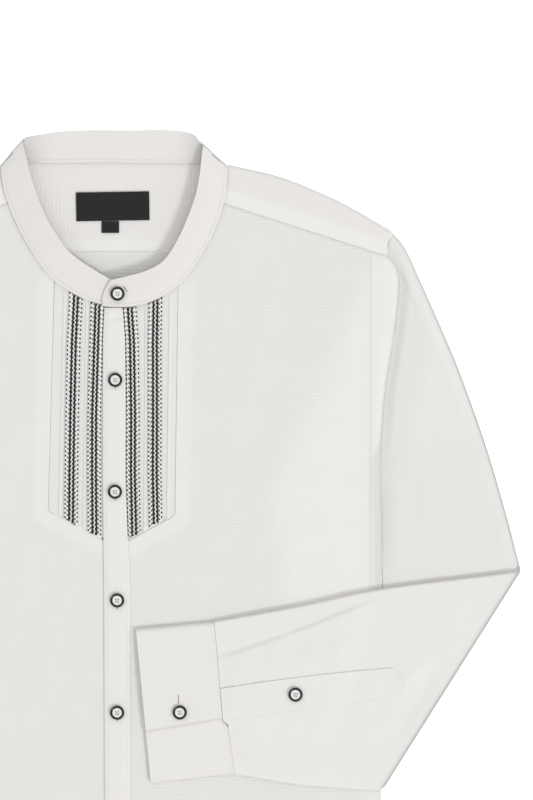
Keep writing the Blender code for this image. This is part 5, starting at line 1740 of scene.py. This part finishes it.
@dataclass
class StraightSleeve(Sleeve):
    """The right sleeve: straight beside the body, lifted near the cuff by the buttons under it."""

    rows: int = 110
    lift_height: float = 4.5
    overarm: Pairs = (
        (227.8, -57.2), (241.0, -72.0), (257.0, -99.0), (281.0, -145.0), (322.0, -225.0), (369.7, -322.0),
        (428.3, -432.4), (487.0, -542.8))
    underarm: Pairs = (
        (218.2, UNDERARM_Y), (220.5, -345.0), (231.0, -402.0), (301.0, -500.0), (375.3, -602.1))
    creases: tuple[Crease, ...] = (
        Crease((250.0, -120.0), (280.0, -220.0), 11.0, 0.6, 4.0),
        Crease((240.0, -330.0), (340.0, -330.0), 12.0, 0.7, 6.0),
        Crease((252.0, -380.0), (360.0, -360.0), 10.0, -0.5, -4.0),
        Crease((300.0, -440.0), (400.0, -430.0), 12.0, 0.6, 5.0),
        Crease((330.0, -500.0), (430.0, -500.0), 9.0, 0.5, -4.0),
        Crease((380.0, -560.0), (430.0, -470.0), 7.0, -0.5, 3.0),
        Crease((230.0, -76.0), (238.0, -106.0), 4.0, 0.7, 1.0),
    )

    def build(self) -> bpy.types.Object:
        """Make the sleeve."""
        over, under = along(self.overarm, self.rows), along(self.underarm, self.rows)
        rings = []
        for i in range(self.rows):
            t = i / (self.rows - 1)
            thickness = self.head + (self.thick - self.head) * ease(t / 0.2) - ease((t - 0.8) / 0.2)
            base = self.lift_height * ease((t - 0.5) / 0.34) + thickness / 2
            outer, inner, line = self.arm_ring(over[i], under[i], base, thickness, (1.0 - t) ** 5)
            count = len(line)
            x, y = outer[:count, 0], outer[:count, 1]
            width = np.linalg.norm(under[i] - over[i])
            free = ease(np.minimum(line, 1.0 - line) * width / 16.0) * ease((1.0 - t) / 0.1)
            away = np.where(y > UNDERARM_Y - 30.0, x - self.body.side_x(y) - 0.4, 20.0)
            lift = self.puff(x, y, free, away)
            for skin in (outer, inner):
                skin[:count, 2] += lift
                skin[:, 0] *= -1.0
            rings.append((outer, inner))
        return self.shell("right_sleeve_cloth", rings, self.facts)

    def facts(self, outer: Array) -> dict[str, Array | float]:
        """Give the attributes at the sleeve's points."""
        x, y = np.abs(outer[:, :, 0]), outer[:, :, 1]
        armhole = np.where(y > UNDERARM_Y - 20.0, np.abs(x - self.body.side_x(y) - SEAM_GAP), FAR)
        # The outline distance places the painted shade along the sleeve's overarm silhouette.
        outline, _ = from_line(x, y, along(self.overarm, 80))
        return {"armhole": armhole, "under": 0.15, "plain": 0.0, "outline": outline}


@dataclass
class Cuff:
    """A cuff wrapped round the sleeve's end, with its over end on its under end."""

    name: str
    hand: Array
    arm: Array
    up_sign: float
    base: float
    stagger: float
    cloth: float = 1.5
    width: float = 127.6
    fold: float = 0.9
    over_edge: float = -21.3
    over_slant: float = 4.3
    under_edge: float = -2.0
    stagger_from: float = 0.645
    rows: int = 26
    cut: Cut = Cut(0.278, 0.066, 0.0180)

    def section(self) -> Array:
        """Return the middle line of the cuff's cloth in its own plane: under end, back, over end on top."""
        half = self.width / 2 - self.cloth / 2
        low = self.cloth / 2
        under = low + self.cloth + SEAM_GAP
        over = under + self.cloth + SEAM_GAP
        near_over = low + 2.4
        radius = (near_over - low) / 2
        angles = [math.radians(turn) for turn in (45, 90, 135)]
        path = [(self.under_edge, under), (-19.5, under), (-24.0, under), (-half + self.fold, under)]
        path += [(-half + self.fold - self.fold * math.sin(a), low + self.fold + self.fold * math.cos(a))
                 for a in angles]
        path += [(-half + self.fold, low), (0.0, low), (half - radius, low)]
        path += [(half - radius + radius * math.sin(a), low + radius - radius * math.cos(a)) for a in angles]
        path += [(half - radius, near_over), (30.0, over - 0.1), (2.0, over), (self.over_edge, over)]
        return np.array(path)

    def build(self) -> bpy.types.Object:
        """Make the cuff."""
        coarse = self.section()
        path = np.vstack([evenly(coarse[:4], 22)[:-1], evenly(coarse[3:9], 34)[:-1],
                          evenly(coarse[8:14], 34)[:-1], evenly(coarse[13:], 34)])
        last_part = np.arange(len(path)) >= len(path) - 36
        first_part = np.arange(len(path)) < 16
        step = np.gradient(path, axis=0)
        normal = np.stack([-step[:, 1], step[:, 0]], axis=1)
        normal /= np.linalg.norm(normal, axis=1)[:, None]
        toward = self.hand.mean(axis=0) - self.arm.mean(axis=0)
        back = unit(toward) * self.stagger
        depth = float(np.linalg.norm(toward))
        along_path = travelled(path)
        grids = []
        for sign in (-1.0, 1.0):
            grid = np.zeros((self.rows, len(path), 3))
            for i, t in enumerate(np.linspace(0.0, 1.0, self.rows)):
                under, upper = self.hand + (self.arm - self.hand) * t
                puff = 0.3 * math.sin(math.pi * t) if sign > 0 else 0.0
                edge = path + normal * (sign * self.cloth / 2)
                slant = np.zeros(len(path))
                slant[-8:] = self.over_slant * t * np.linspace(0.0, 1.0, 8)
                share = (edge[:, 0] + slant) / self.width + 0.5
                place = under[None, :] + (upper - under)[None, :] * share[:, None]
                setback = np.where(last_part | first_part, (1.0 - share) / self.stagger_from, 0.0)
                setback = np.where(first_part, setback * ease((path[:, 0] + 24.0) / 4.5), setback)
                place = place + back[None, :] * (t * setback)[:, None]
                height = edge[:, 1] + np.where(last_part, puff, 0.0)
                grid[i] = np.column_stack([place, self.base + self.up_sign * height])
            grids.append(grid)
        weave = np.zeros((self.rows, len(path), 2))
        weave[:, :, 0] = along_path[None, :]
        weave[:, :, 1] = np.linspace(0.0, depth, self.rows)[:, None]
        rim = np.minimum(weave[:, :, 1], depth - weave[:, :, 1])
        rim = np.minimum(rim, np.minimum(along_path, along_path[-1] - along_path)[None, :])
        # lap is the distance from the over end's edge, which places the painted shade there.
        facts = {"seam": np.abs(rim - 2.4) + 2.6, "lap": along_path[-1] - along_path,
                 "under": 0.4, "plain": 1.0}
        return Wall(*grids, facts, weave).build(self.name, CUFF_COTTON)


@dataclass
class OpeningBand:
    """The pointed band of a sleeve's opening."""

    name: str
    cloth: float = 0.7
    width: float = 25.0
    cut: Cut = Cut(0.025, 0.150, 0.0034)

    def build(self, flat: Array, heights: Array) -> bpy.types.Object:
        """Make the band.

        Args:
            flat: Grid of its points seen from above.
            heights: Its underside at each point.

        Returns:
            The object.
        """
        grid = np.dstack([flat, heights])
        rows, columns = flat.shape[:2]
        length = travelled(flat[:, columns // 2])
        across = np.linspace(0.0, self.width, columns)
        weave = np.stack([np.repeat(across[None, :], rows, 0), np.repeat(length[:, None], columns, 1)], -1)
        rim = np.minimum(across, self.width - across)
        facts = {"seam": np.abs(rim - 1.6) + 2.6, "lap": FAR, "under": 0.5, "plain": 1.0}
        return Wall(grid, grid + (0.0, 0.0, self.cloth), facts, weave).build(self.name, CUFF_COTTON, 0.3)


@dataclass
class Button:
    """A button with a raised black rim, a white centre, four holes and a cross of thread."""

    rim_radius: float = 5.85
    high: float = 2.4
    hole_radius: float = 0.45
    hole_offset: float = 1.5
    rim_profile: Pairs = (
        (4.6, 0.0), (5.5, 0.25), (5.85, 0.9), (5.8, 1.7), (5.45, 2.2), (5.0, 2.4), (4.5, 2.3), (4.1, 2.0),
        (3.8, 2.0))
    centre_profile: Pairs = ((3.8, 2.0), (3.3, 1.97), (2.6, 1.96))

    def disc(self) -> bpy.types.Mesh:
        """Make the button's mesh once, resting on z = 0, with rim, centre and hole faces."""
        sides = 40
        turn = np.linspace(0.0, 2.0 * np.pi, sides, endpoint=False)
        shape = bmesh.new()
        loops = []
        for radius, height in (*self.rim_profile, *self.centre_profile[1:]):
            loops.append([shape.verts.new((radius * math.cos(a) * MM, radius * math.sin(a) * MM, height * MM))
                          for a in turn])
        for k, (outer, inner) in enumerate(zip(loops, loops[1:])):
            for j in range(sides):
                after = (j + 1) % sides
                face = shape.faces.new((outer[j], outer[after], inner[after], inner[j]))
                face.material_index = int(k >= len(self.rim_profile) - 1)
        shape.faces.new(loops[0][::-1]).material_index = 0
        shape.faces.new(loops[-1]).material_index = 1
        bmesh.ops.recalc_face_normals(shape, faces=shape.faces)
        helpers = [self.part("button_disc", shape)]
        for k in range(4):
            angle = math.pi / 4 + math.pi / 2 * k
            hole = bmesh.new()
            bmesh.ops.create_cone(hole, cap_ends=True, segments=12, radius1=self.hole_radius * MM,
                                  radius2=self.hole_radius * MM, depth=6.0 * MM)
            for vert in hole.verts:
                vert.co += Vector((math.cos(angle), math.sin(angle), 0.0)) * self.hole_offset * MM
            # The holes' walls take the dark finish: painted shade.
            for face in hole.faces:
                face.material_index = 2
            helpers.append(self.part(f"hole_{k}", hole))
            cut = helpers[0].modifiers.new(f"hole_{k}", "BOOLEAN")
            cut.operation = "DIFFERENCE"
            cut.solver = "EXACT"
            cut.object = helpers[-1]
        result = settled(helpers[0])
        for helper in helpers:
            bpy.data.objects.remove(helper)
        return result

    def part(self, name: str, shape: bmesh.types.BMesh) -> bpy.types.Object:
        """Return an object of this shape, which is used up, with the button's three finishes."""
        mesh = bpy.data.meshes.new(name)
        shape.to_mesh(mesh)
        shape.free()
        return add_object(name, mesh, RIM_PLASTIC, CENTRE_PLASTIC, HOLE_SHADE_PLASTIC)

    def place(self, name: str, mesh: bpy.types.Mesh, centre: Pair, base: float,
              face_down: bool = False, turn: float = 0.0) -> bpy.types.Object:
        """Copy the button to its place, its lowest point at this height.

        Args:
            name: Name of the piece.
            mesh: The button's mesh.
            centre: Its middle, seen from above.
            base: Height of its lowest point.
            face_down: Whether its face points down.
            turn: How far it is turned about its axis.

        Returns:
            The object.
        """
        copy = mesh.copy()
        copy.name = name
        points = np.zeros(len(copy.vertices) * 3)
        copy.vertices.foreach_get("co", points)
        points = points.reshape(-1, 3)
        cos, sin = math.cos(turn), math.sin(turn)
        points = points @ np.array(((cos, sin, 0.0), (-sin, cos, 0.0), (0.0, 0.0, 1.0)))
        if face_down:
            points = points * (1.0, -1.0, -1.0) + (0.0, 0.0, self.high * MM)
        points = points + np.array((centre[0], centre[1] + ROW_SHIFT, base)) * MM
        copy.vertices.foreach_set("co", points.ravel())
        copy.update()
        return linked(name, copy)

    def threads(self, centre: Pair, base: float, face_down: bool, turn: float) -> list[Array]:
        """Return the lines of the thread that crosses between the holes."""
        height = base + (self.high - 2.0 if face_down else 2.0)
        lines = []
        for k in range(2):
            angle = turn + math.pi / 4 + math.pi / 2 * k
            direction = np.array((math.cos(angle), math.sin(angle)))
            reach = np.linspace(-1.0, 1.0, 5) * self.hole_offset
            sag = (self.high * 0.15) * (1.0 - np.abs(np.linspace(-1.0, 1.0, 5)))
            rise = height + (-sag if face_down else sag)
            lines.append(np.column_stack([np.array(centre) + direction * reach[:, None], rise]))
        return lines


@dataclass
class Label:
    """The neck label or its size tab: bare black woven cloth with turned-in ends."""

    name: str
    centre: Pair
    size: Pair
    turn: float
    cut: Cut
    cloth: float = 0.9

    def build(self) -> bpy.types.Object:
        """Make the label."""
        x = np.linspace(-0.5, 0.5, 34)[None, :] * self.size[0]
        y = np.linspace(-0.5, 0.5, 16)[:, None] * self.size[1]
        x, y = np.broadcast_arrays(x, y)
        cos, sin = math.cos(self.turn), math.sin(self.turn)
        grid = np.zeros((*x.shape, 3))
        grid[:, :, 0] = self.centre[0] + x * cos - y * sin
        grid[:, :, 1] = self.centre[1] + x * sin + y * cos
        grid[:, :, 2] = BACK_TOP + SEAM_GAP
        high = grid + (0.0, 0.0, self.cloth)
        high[:, :, 2] += ripple(x, y, 30.0, 0.12) - 0.15 * ease((np.abs(x) - self.size[0] / 2 + 2.0) / 2.0)
        return Wall(grid, high, weave=np.dstack([x, y])).build(self.name, LABEL_CLOTH, 0.25)


@dataclass
class Studio:
    """Floor, light and the camera that looks straight down."""

    view_width: float = 437.0
    image: tuple[int, int] = (533, 800)
    view_centre: Pair = (0.1238, 0.1017)
    distance: float = 4.0
    sensor: float = 36.0
    floor_reach: float = 4.0
    floor_glow: float = 0.55
    sun_strength: float = 1.02
    sun_size: float = math.radians(13.0)
    sun_direction: tuple[float, ...] = (-0.525, 0.525, -0.67)
    room_strength: float = 0.785

    def floor(self) -> bpy.types.Object:
        """Lay the plain pale floor."""
        mesh = bpy.data.meshes.new("floor")
        reach = self.floor_reach
        corners = [(x * reach, y * reach, -0.0002) for x, y in ((-1, -1), (1, -1), (1, 1), (-1, 1))]
        mesh.from_pydata(corners, [], [(0, 1, 2, 3)])
        paint = Painter("pale_floor")
        feed(paint.shader, {"Base Color": (0.92, 0.92, 0.92, 1.0), "Emission Color": (1.0, 1.0, 1.0, 1.0),
                            "Emission Strength": self.floor_glow, "Roughness": 0.9,
                            "Specular IOR Level": 0.1})
        mesh.materials.append(paint.material)
        return linked("floor", mesh)

    def light(self) -> None:
        """Hang a soft key light over the lower right and fill the room with even light."""
        key = bpy.data.lights.new("key_light", "SUN")
        key.energy = self.sun_strength
        key.angle = self.sun_size
        lamp = linked("key_light", key)
        lamp.rotation_euler = Vector(self.sun_direction).to_track_quat("-Z", "Y").to_euler()
        lamp.location = (0.6, -0.4, 1.5)
        world = bpy.context.scene.world or bpy.data.worlds.new("studio")
        bpy.context.scene.world = world
        world.use_nodes = True
        room = world.node_tree.nodes["Background"]
        feed(room, {"Color": (1.0, 1.0, 1.0, 1.0), "Strength": self.room_strength})

    def camera(self) -> None:
        """Set the camera over the shirt."""
        lens = bpy.data.cameras.new("camera")
        lens.type = "PERSP"
        lens.sensor_width = self.sensor
        lens.sensor_fit = "AUTO"
        tall = self.view_width * MM * self.image[1] / self.image[0]
        lens.lens = self.sensor * self.distance / tall
        lens.clip_end = 50.0
        made = linked("camera", lens)
        made.location = (*self.view_centre, self.distance)
        bpy.context.scene.camera = made
        bpy.context.scene.view_settings.view_transform = "Standard"


@dataclass
class Shirt:
    """The whole shirt, built piece by piece in the order in which it lies."""

    body: Body = field(default_factory=Body)
    front_buttons: Pairs = (
        (0.0, -177.9), (-0.2, -269.4), (1.6, -358.3), (1.6, -450.2), (1.8, -541.0), (1.9, -632.0))
    collar_button: Pair = (2.0, -107.4)
    cuff_button: Pair = (52.9, -449.8)
    band_button: Pair = (147.5, -435.0)
    collar_slit: Pairs = ((6.9, -101.4), (10.0, -105.6))
    cuff_slit: Pairs = ((51.7, -435.6), (51.9, -442.0))
    cuff_depth: float = 66.0
    left_cuff_low: float = 5.3
    left_hand: Pairs = ((29.1, -508.4), (16.8, -381.3))
    left_arm: Pairs = ((98.1, -500.5), (80.9, -375.5))
    band_lower: Pairs = (
        (88.1, -456.1), (133.2, -449.8), (178.3, -444.4), (229.2, -435.7))
    band_upper: Pairs = (
        (85.95, -430.5), (125.9, -424.3), (175.0, -418.2), (227.5, -413.4))
    band_tip: Pair = (236.0, -424.3)

    def __post_init__(self) -> None:
        """Prepare the shared parts."""
        self.collar = Collar(self.body)
        self.button = Button()
        self.disc = self.button.disc()
        self.threads: list[Array] = []

    def build(self) -> None:
        """Build every piece."""
        self.build_body()
        self.build_sleeves()
        self.build_neck()
        self.build_buttons()
        self.build_slits()
        row = StitchRow(0.42, 0.55, 0.36, 0.3, loose=0.0)
        keep(row.sew("button_threads", self.threads, WHITE_THREAD), Slot.BUTTON)

    def build_body(self) -> None:
        """Build back, yoke, fronts, insets, button band and tapes."""
        back, yoke = Back(self.body), Yoke(self.body)
        keep(back.build(), Slot.WEAVE, "back", back.cut)
        on_yoke = keep(yoke.build(), Slot.SMOOTH, "yoke", yoke.cut)
        sewn = []
        for side, word in ((LEFT, "left"), (RIGHT, "right")):
            front = Front(self.body, self.collar, side)
            panel = keep(front.build(), Slot.WEAVE, f"{word}_front", front.cut)
            inset = Inset(self.body, self.collar, side)
            keep(inset.build(), Slot.SMOOTH, f"{word}_bib", inset.cut)
            sewn += self.front_lines(side, Surface(panel, on_yoke))
        band = ButtonBand(self.body)
        self.band = keep(band.build(), Slot.SMOOTH, "placket", band.cut)
        tapes = Tapes(self.body, self.collar)
        for tape in range(4):
            cloth, dark, light = tapes.build(tape)
            keep(cloth, Slot.TAPE, f"tape_{tape + 1}", tapes.cut)
            keep(dark, Slot.TAPE)
            keep(light, Slot.TAPE)
        row = StitchRow(width=0.35, height=0.18)
        keep(row.sew("front_topstitching", sewn, WHITE_THREAD), Slot.WEAVE)

    def front_lines(self, side: int, surface: Surface) -> list[Array]:
        """Return the sewn lines of one front: armhole and yoke seam.

        Args:
            side: LEFT or RIGHT.
            surface: The front and the yoke.

        Returns:
            Lines with their heights.
        """
        y = np.linspace(-78.0, -346.0, 90)
        lines = [np.column_stack([np.full(y.shape, side * (self.body.strip_x - inset)), y])
                 for inset in (0.0, 1.8)]
        seam = np.array(self.body.front_yoke_seam) * (side, 1.0)
        across = np.linspace(0.03, 0.95, 60)[:, None]
        lines.append(seam[0] + (seam[1] - seam[0]) * across + (0.0, 1.9))
        return [surface.drape(line, 0.02) for line in lines]

    def build_sleeves(self) -> None:
        """Build both sleeves with their cuffs and opening bands."""
        folded = FoldedSleeve(self.body)
        left = keep(folded.build(), Slot.WEAVE, "left_sleeve", folded.cut)
        cuff = Cuff("left_cuff_cloth", np.array(self.left_hand), np.array(self.left_arm), 1.0,
                    self.left_cuff_low, folded.stagger)
        self.left_cuff = keep(cuff.build(), Slot.SMOOTH, "left_cuff", cuff.cut)
        self.build_left_band(Surface(left))
        straight = StraightSleeve(self.body)
        right = keep(straight.build(), Slot.WEAVE, "right_sleeve", straight.cut)
        self.build_right_end(straight, Surface(right, from_above=False))

    def build_left_band(self, surface: Surface) -> None:
        """Drape the folded sleeve's opening band over the sleeve."""
        lower, upper = along(self.band_lower, 60), along(self.band_upper, 60)
        tip = np.array(self.band_tip)
        lines = []
        for share in np.linspace(0.0, 1.0, 11):
            line = lower + (upper - lower) * share
            nose = [line[-1] + (tip - line[-1]) * t for t in (0.2, 0.4, 0.6, 0.75, 0.88, 0.95)]
            lines.append(np.vstack([line, nose]))
        flat = np.stack(lines, axis=1)
        heights = surface.rest(flat, np.array([(step, 0.0) for step in (-1.5, 0.0, 1.5, 3.0)]), 0.12)
        band = OpeningBand("left_opening_band")
        self.left_band = keep(band.build(flat, heights), Slot.SMOOTH, "left_sleeve_band", band.cut)

    def build_right_end(self, sleeve: StraightSleeve, underside: Surface) -> None:
        """Build the straight sleeve's cuff, opening band and their buttons, which face down.

        Args:
            sleeve: The sleeve.
            underside: Its lower face.
        """
        corners = np.array([sleeve.underarm[-1], sleeve.overarm[-1]]) * (-1.0, 1.0)
        toward_top = unit(corners[1] - corners[0])
        toward_arm = np.array((toward_top[1], -toward_top[0]))
        half = toward_top * Cuff.width / 2
        arm = corners.mean(axis=0) + np.array([-half, half]) - toward_arm * 0.15
        hand = arm - toward_arm * self.cuff_depth
        rise = self.button.high + 3 * Cuff.cloth + 3 * SEAM_GAP
        cuff = Cuff("right_cuff_cloth", hand, arm, -1.0, rise, 0.0)
        keep(cuff.build(), Slot.SMOOTH, "right_cuff", cuff.cut)
        spot = hand.mean(axis=0) + toward_arm * 29.5 - toward_top * 8.0
        self.add_button("right_cuff_button", tuple(spot), 0.0, True)
        start = arm.mean(axis=0) + toward_arm * 1.0 - toward_top * 5.0
        direction = unit(toward_arm + toward_top * 0.03)
        across = np.array((-direction[1], direction[0]))
        stations = [(141.0 * k / 40, 1.0) for k in range(41)]
        stations += [(143.5, 0.82), (145.5, 0.62), (148.0, 0.4), (150.0, 0.15)]
        flat = np.array([[start + direction * d + across * 12.5 * share * (j / 4 - 1) for j in range(9)]
                         for d, share in stations])
        heights = underside.rest(flat, np.array([direction * step for step in (0.0, 4.0)]), CLOTH + SEAM_GAP)
        band = OpeningBand("right_opening_band")
        keep(band.build(flat, np.maximum(heights, 0.0)), Slot.SMOOTH, "right_sleeve_band", band.cut)
        self.add_button("right_band_button", tuple(start + direction * 60.0), 0.0, True)

    def build_neck(self) -> None:
        """Build the collar with its stitching, the label and the size tab."""
        self.neck = keep(self.collar.build(), Slot.SMOOTH, "collar", self.collar.cut)
        lines = [Surface(self.neck).drape(self.collar.stitch_line(2.6), 0.02)]
        keep(StitchRow().sew("collar_topstitching", lines, WHITE_THREAD), Slot.SMOOTH)
        for label in (Label("label_cloth", (-2.2, -35.6), (60.0, 23.6), math.radians(0.9), Cut(0.06, 0.0236)),
                      Label("size_tab_cloth", (-4.2, -52.6), (14.4, 9.6), 0.0, Cut(0.0152, 0.01))):
            keep(label.build(), Slot.LABEL, label.name.removesuffix("_cloth"), label.cut)

    def build_slits(self) -> None:
        """Sew the ends of the buttonholes that show beside their buttons."""
        ends = [(self.neck, self.collar_slit, 12), (self.left_cuff, self.cuff_slit, 12)]
        ends += [(self.band, ((x, y - 6.3), (x, y - 7.2)), 3) for x, y in self.front_buttons]
        lines = [Surface(piece).drape(evenly(np.array(slit), count), 0.05) for piece, slit, count in ends]
        row = StitchRow(0.5, 0.8, 0.75, 0.35, loose=0.1)
        keep(row.sew("buttonhole_ends", lines, SLIT_THREAD), Slot.SMOOTH)

    def add_button(self, node: str, centre: Pair, base: float, face_down: bool = False,
                   name: str = "") -> None:
        """Place one button and its thread.

        Args:
            node: CAD node that it replaces.
            centre: Its middle, seen from above.
            base: Height of its lowest point.
            face_down: Whether its face points down.
            name: Name of the piece, if it isn't made from the node's.
        """
        turn = 0.15 * math.sin(centre[1])
        piece = self.button.place(name or f"{node}_disc", self.disc, centre, base, face_down, turn)
        keep(piece, Slot.BUTTON, node)
        self.threads += self.button.threads(centre, base, face_down, turn)

    def resting(self, piece: bpy.types.Object, centre: Pair) -> float:
        """Return the lowest height at which a button clears this piece."""
        radius = self.button.rim_radius
        around = [(radius * math.cos(a), radius * math.sin(a)) for a in np.linspace(0.0, 2.0 * math.pi, 13)]
        return float(np.max(Surface(piece).drape(np.array([(0.0, 0.0), *around]) + centre, 0.1)[:, 2]))

    def build_buttons(self) -> None:
        """Place the buttons that face up."""
        places = [("button_1", self.neck, self.collar_button, "collar_button_disc")]
        places += [(f"button_{k + 2}", self.band, centre, f"front_button_{k + 1}")
                   for k, centre in enumerate(self.front_buttons)]
        places += [("left_cuff_button", self.left_cuff, self.cuff_button, ""),
                   ("left_band_button", self.left_band, self.band_button, "")]
        for node, piece, centre, name in places:
            self.add_button(node, centre, self.resting(piece, centre), False, name)


def main() -> None:
    """Build the shirt and its studio."""
    logging.basicConfig(level=logging.INFO, format="%(message)s")
    Shirt().build()
    studio = Studio()
    studio.floor()
    studio.light()
    studio.camera()


if __name__ == "__main__":
    main()
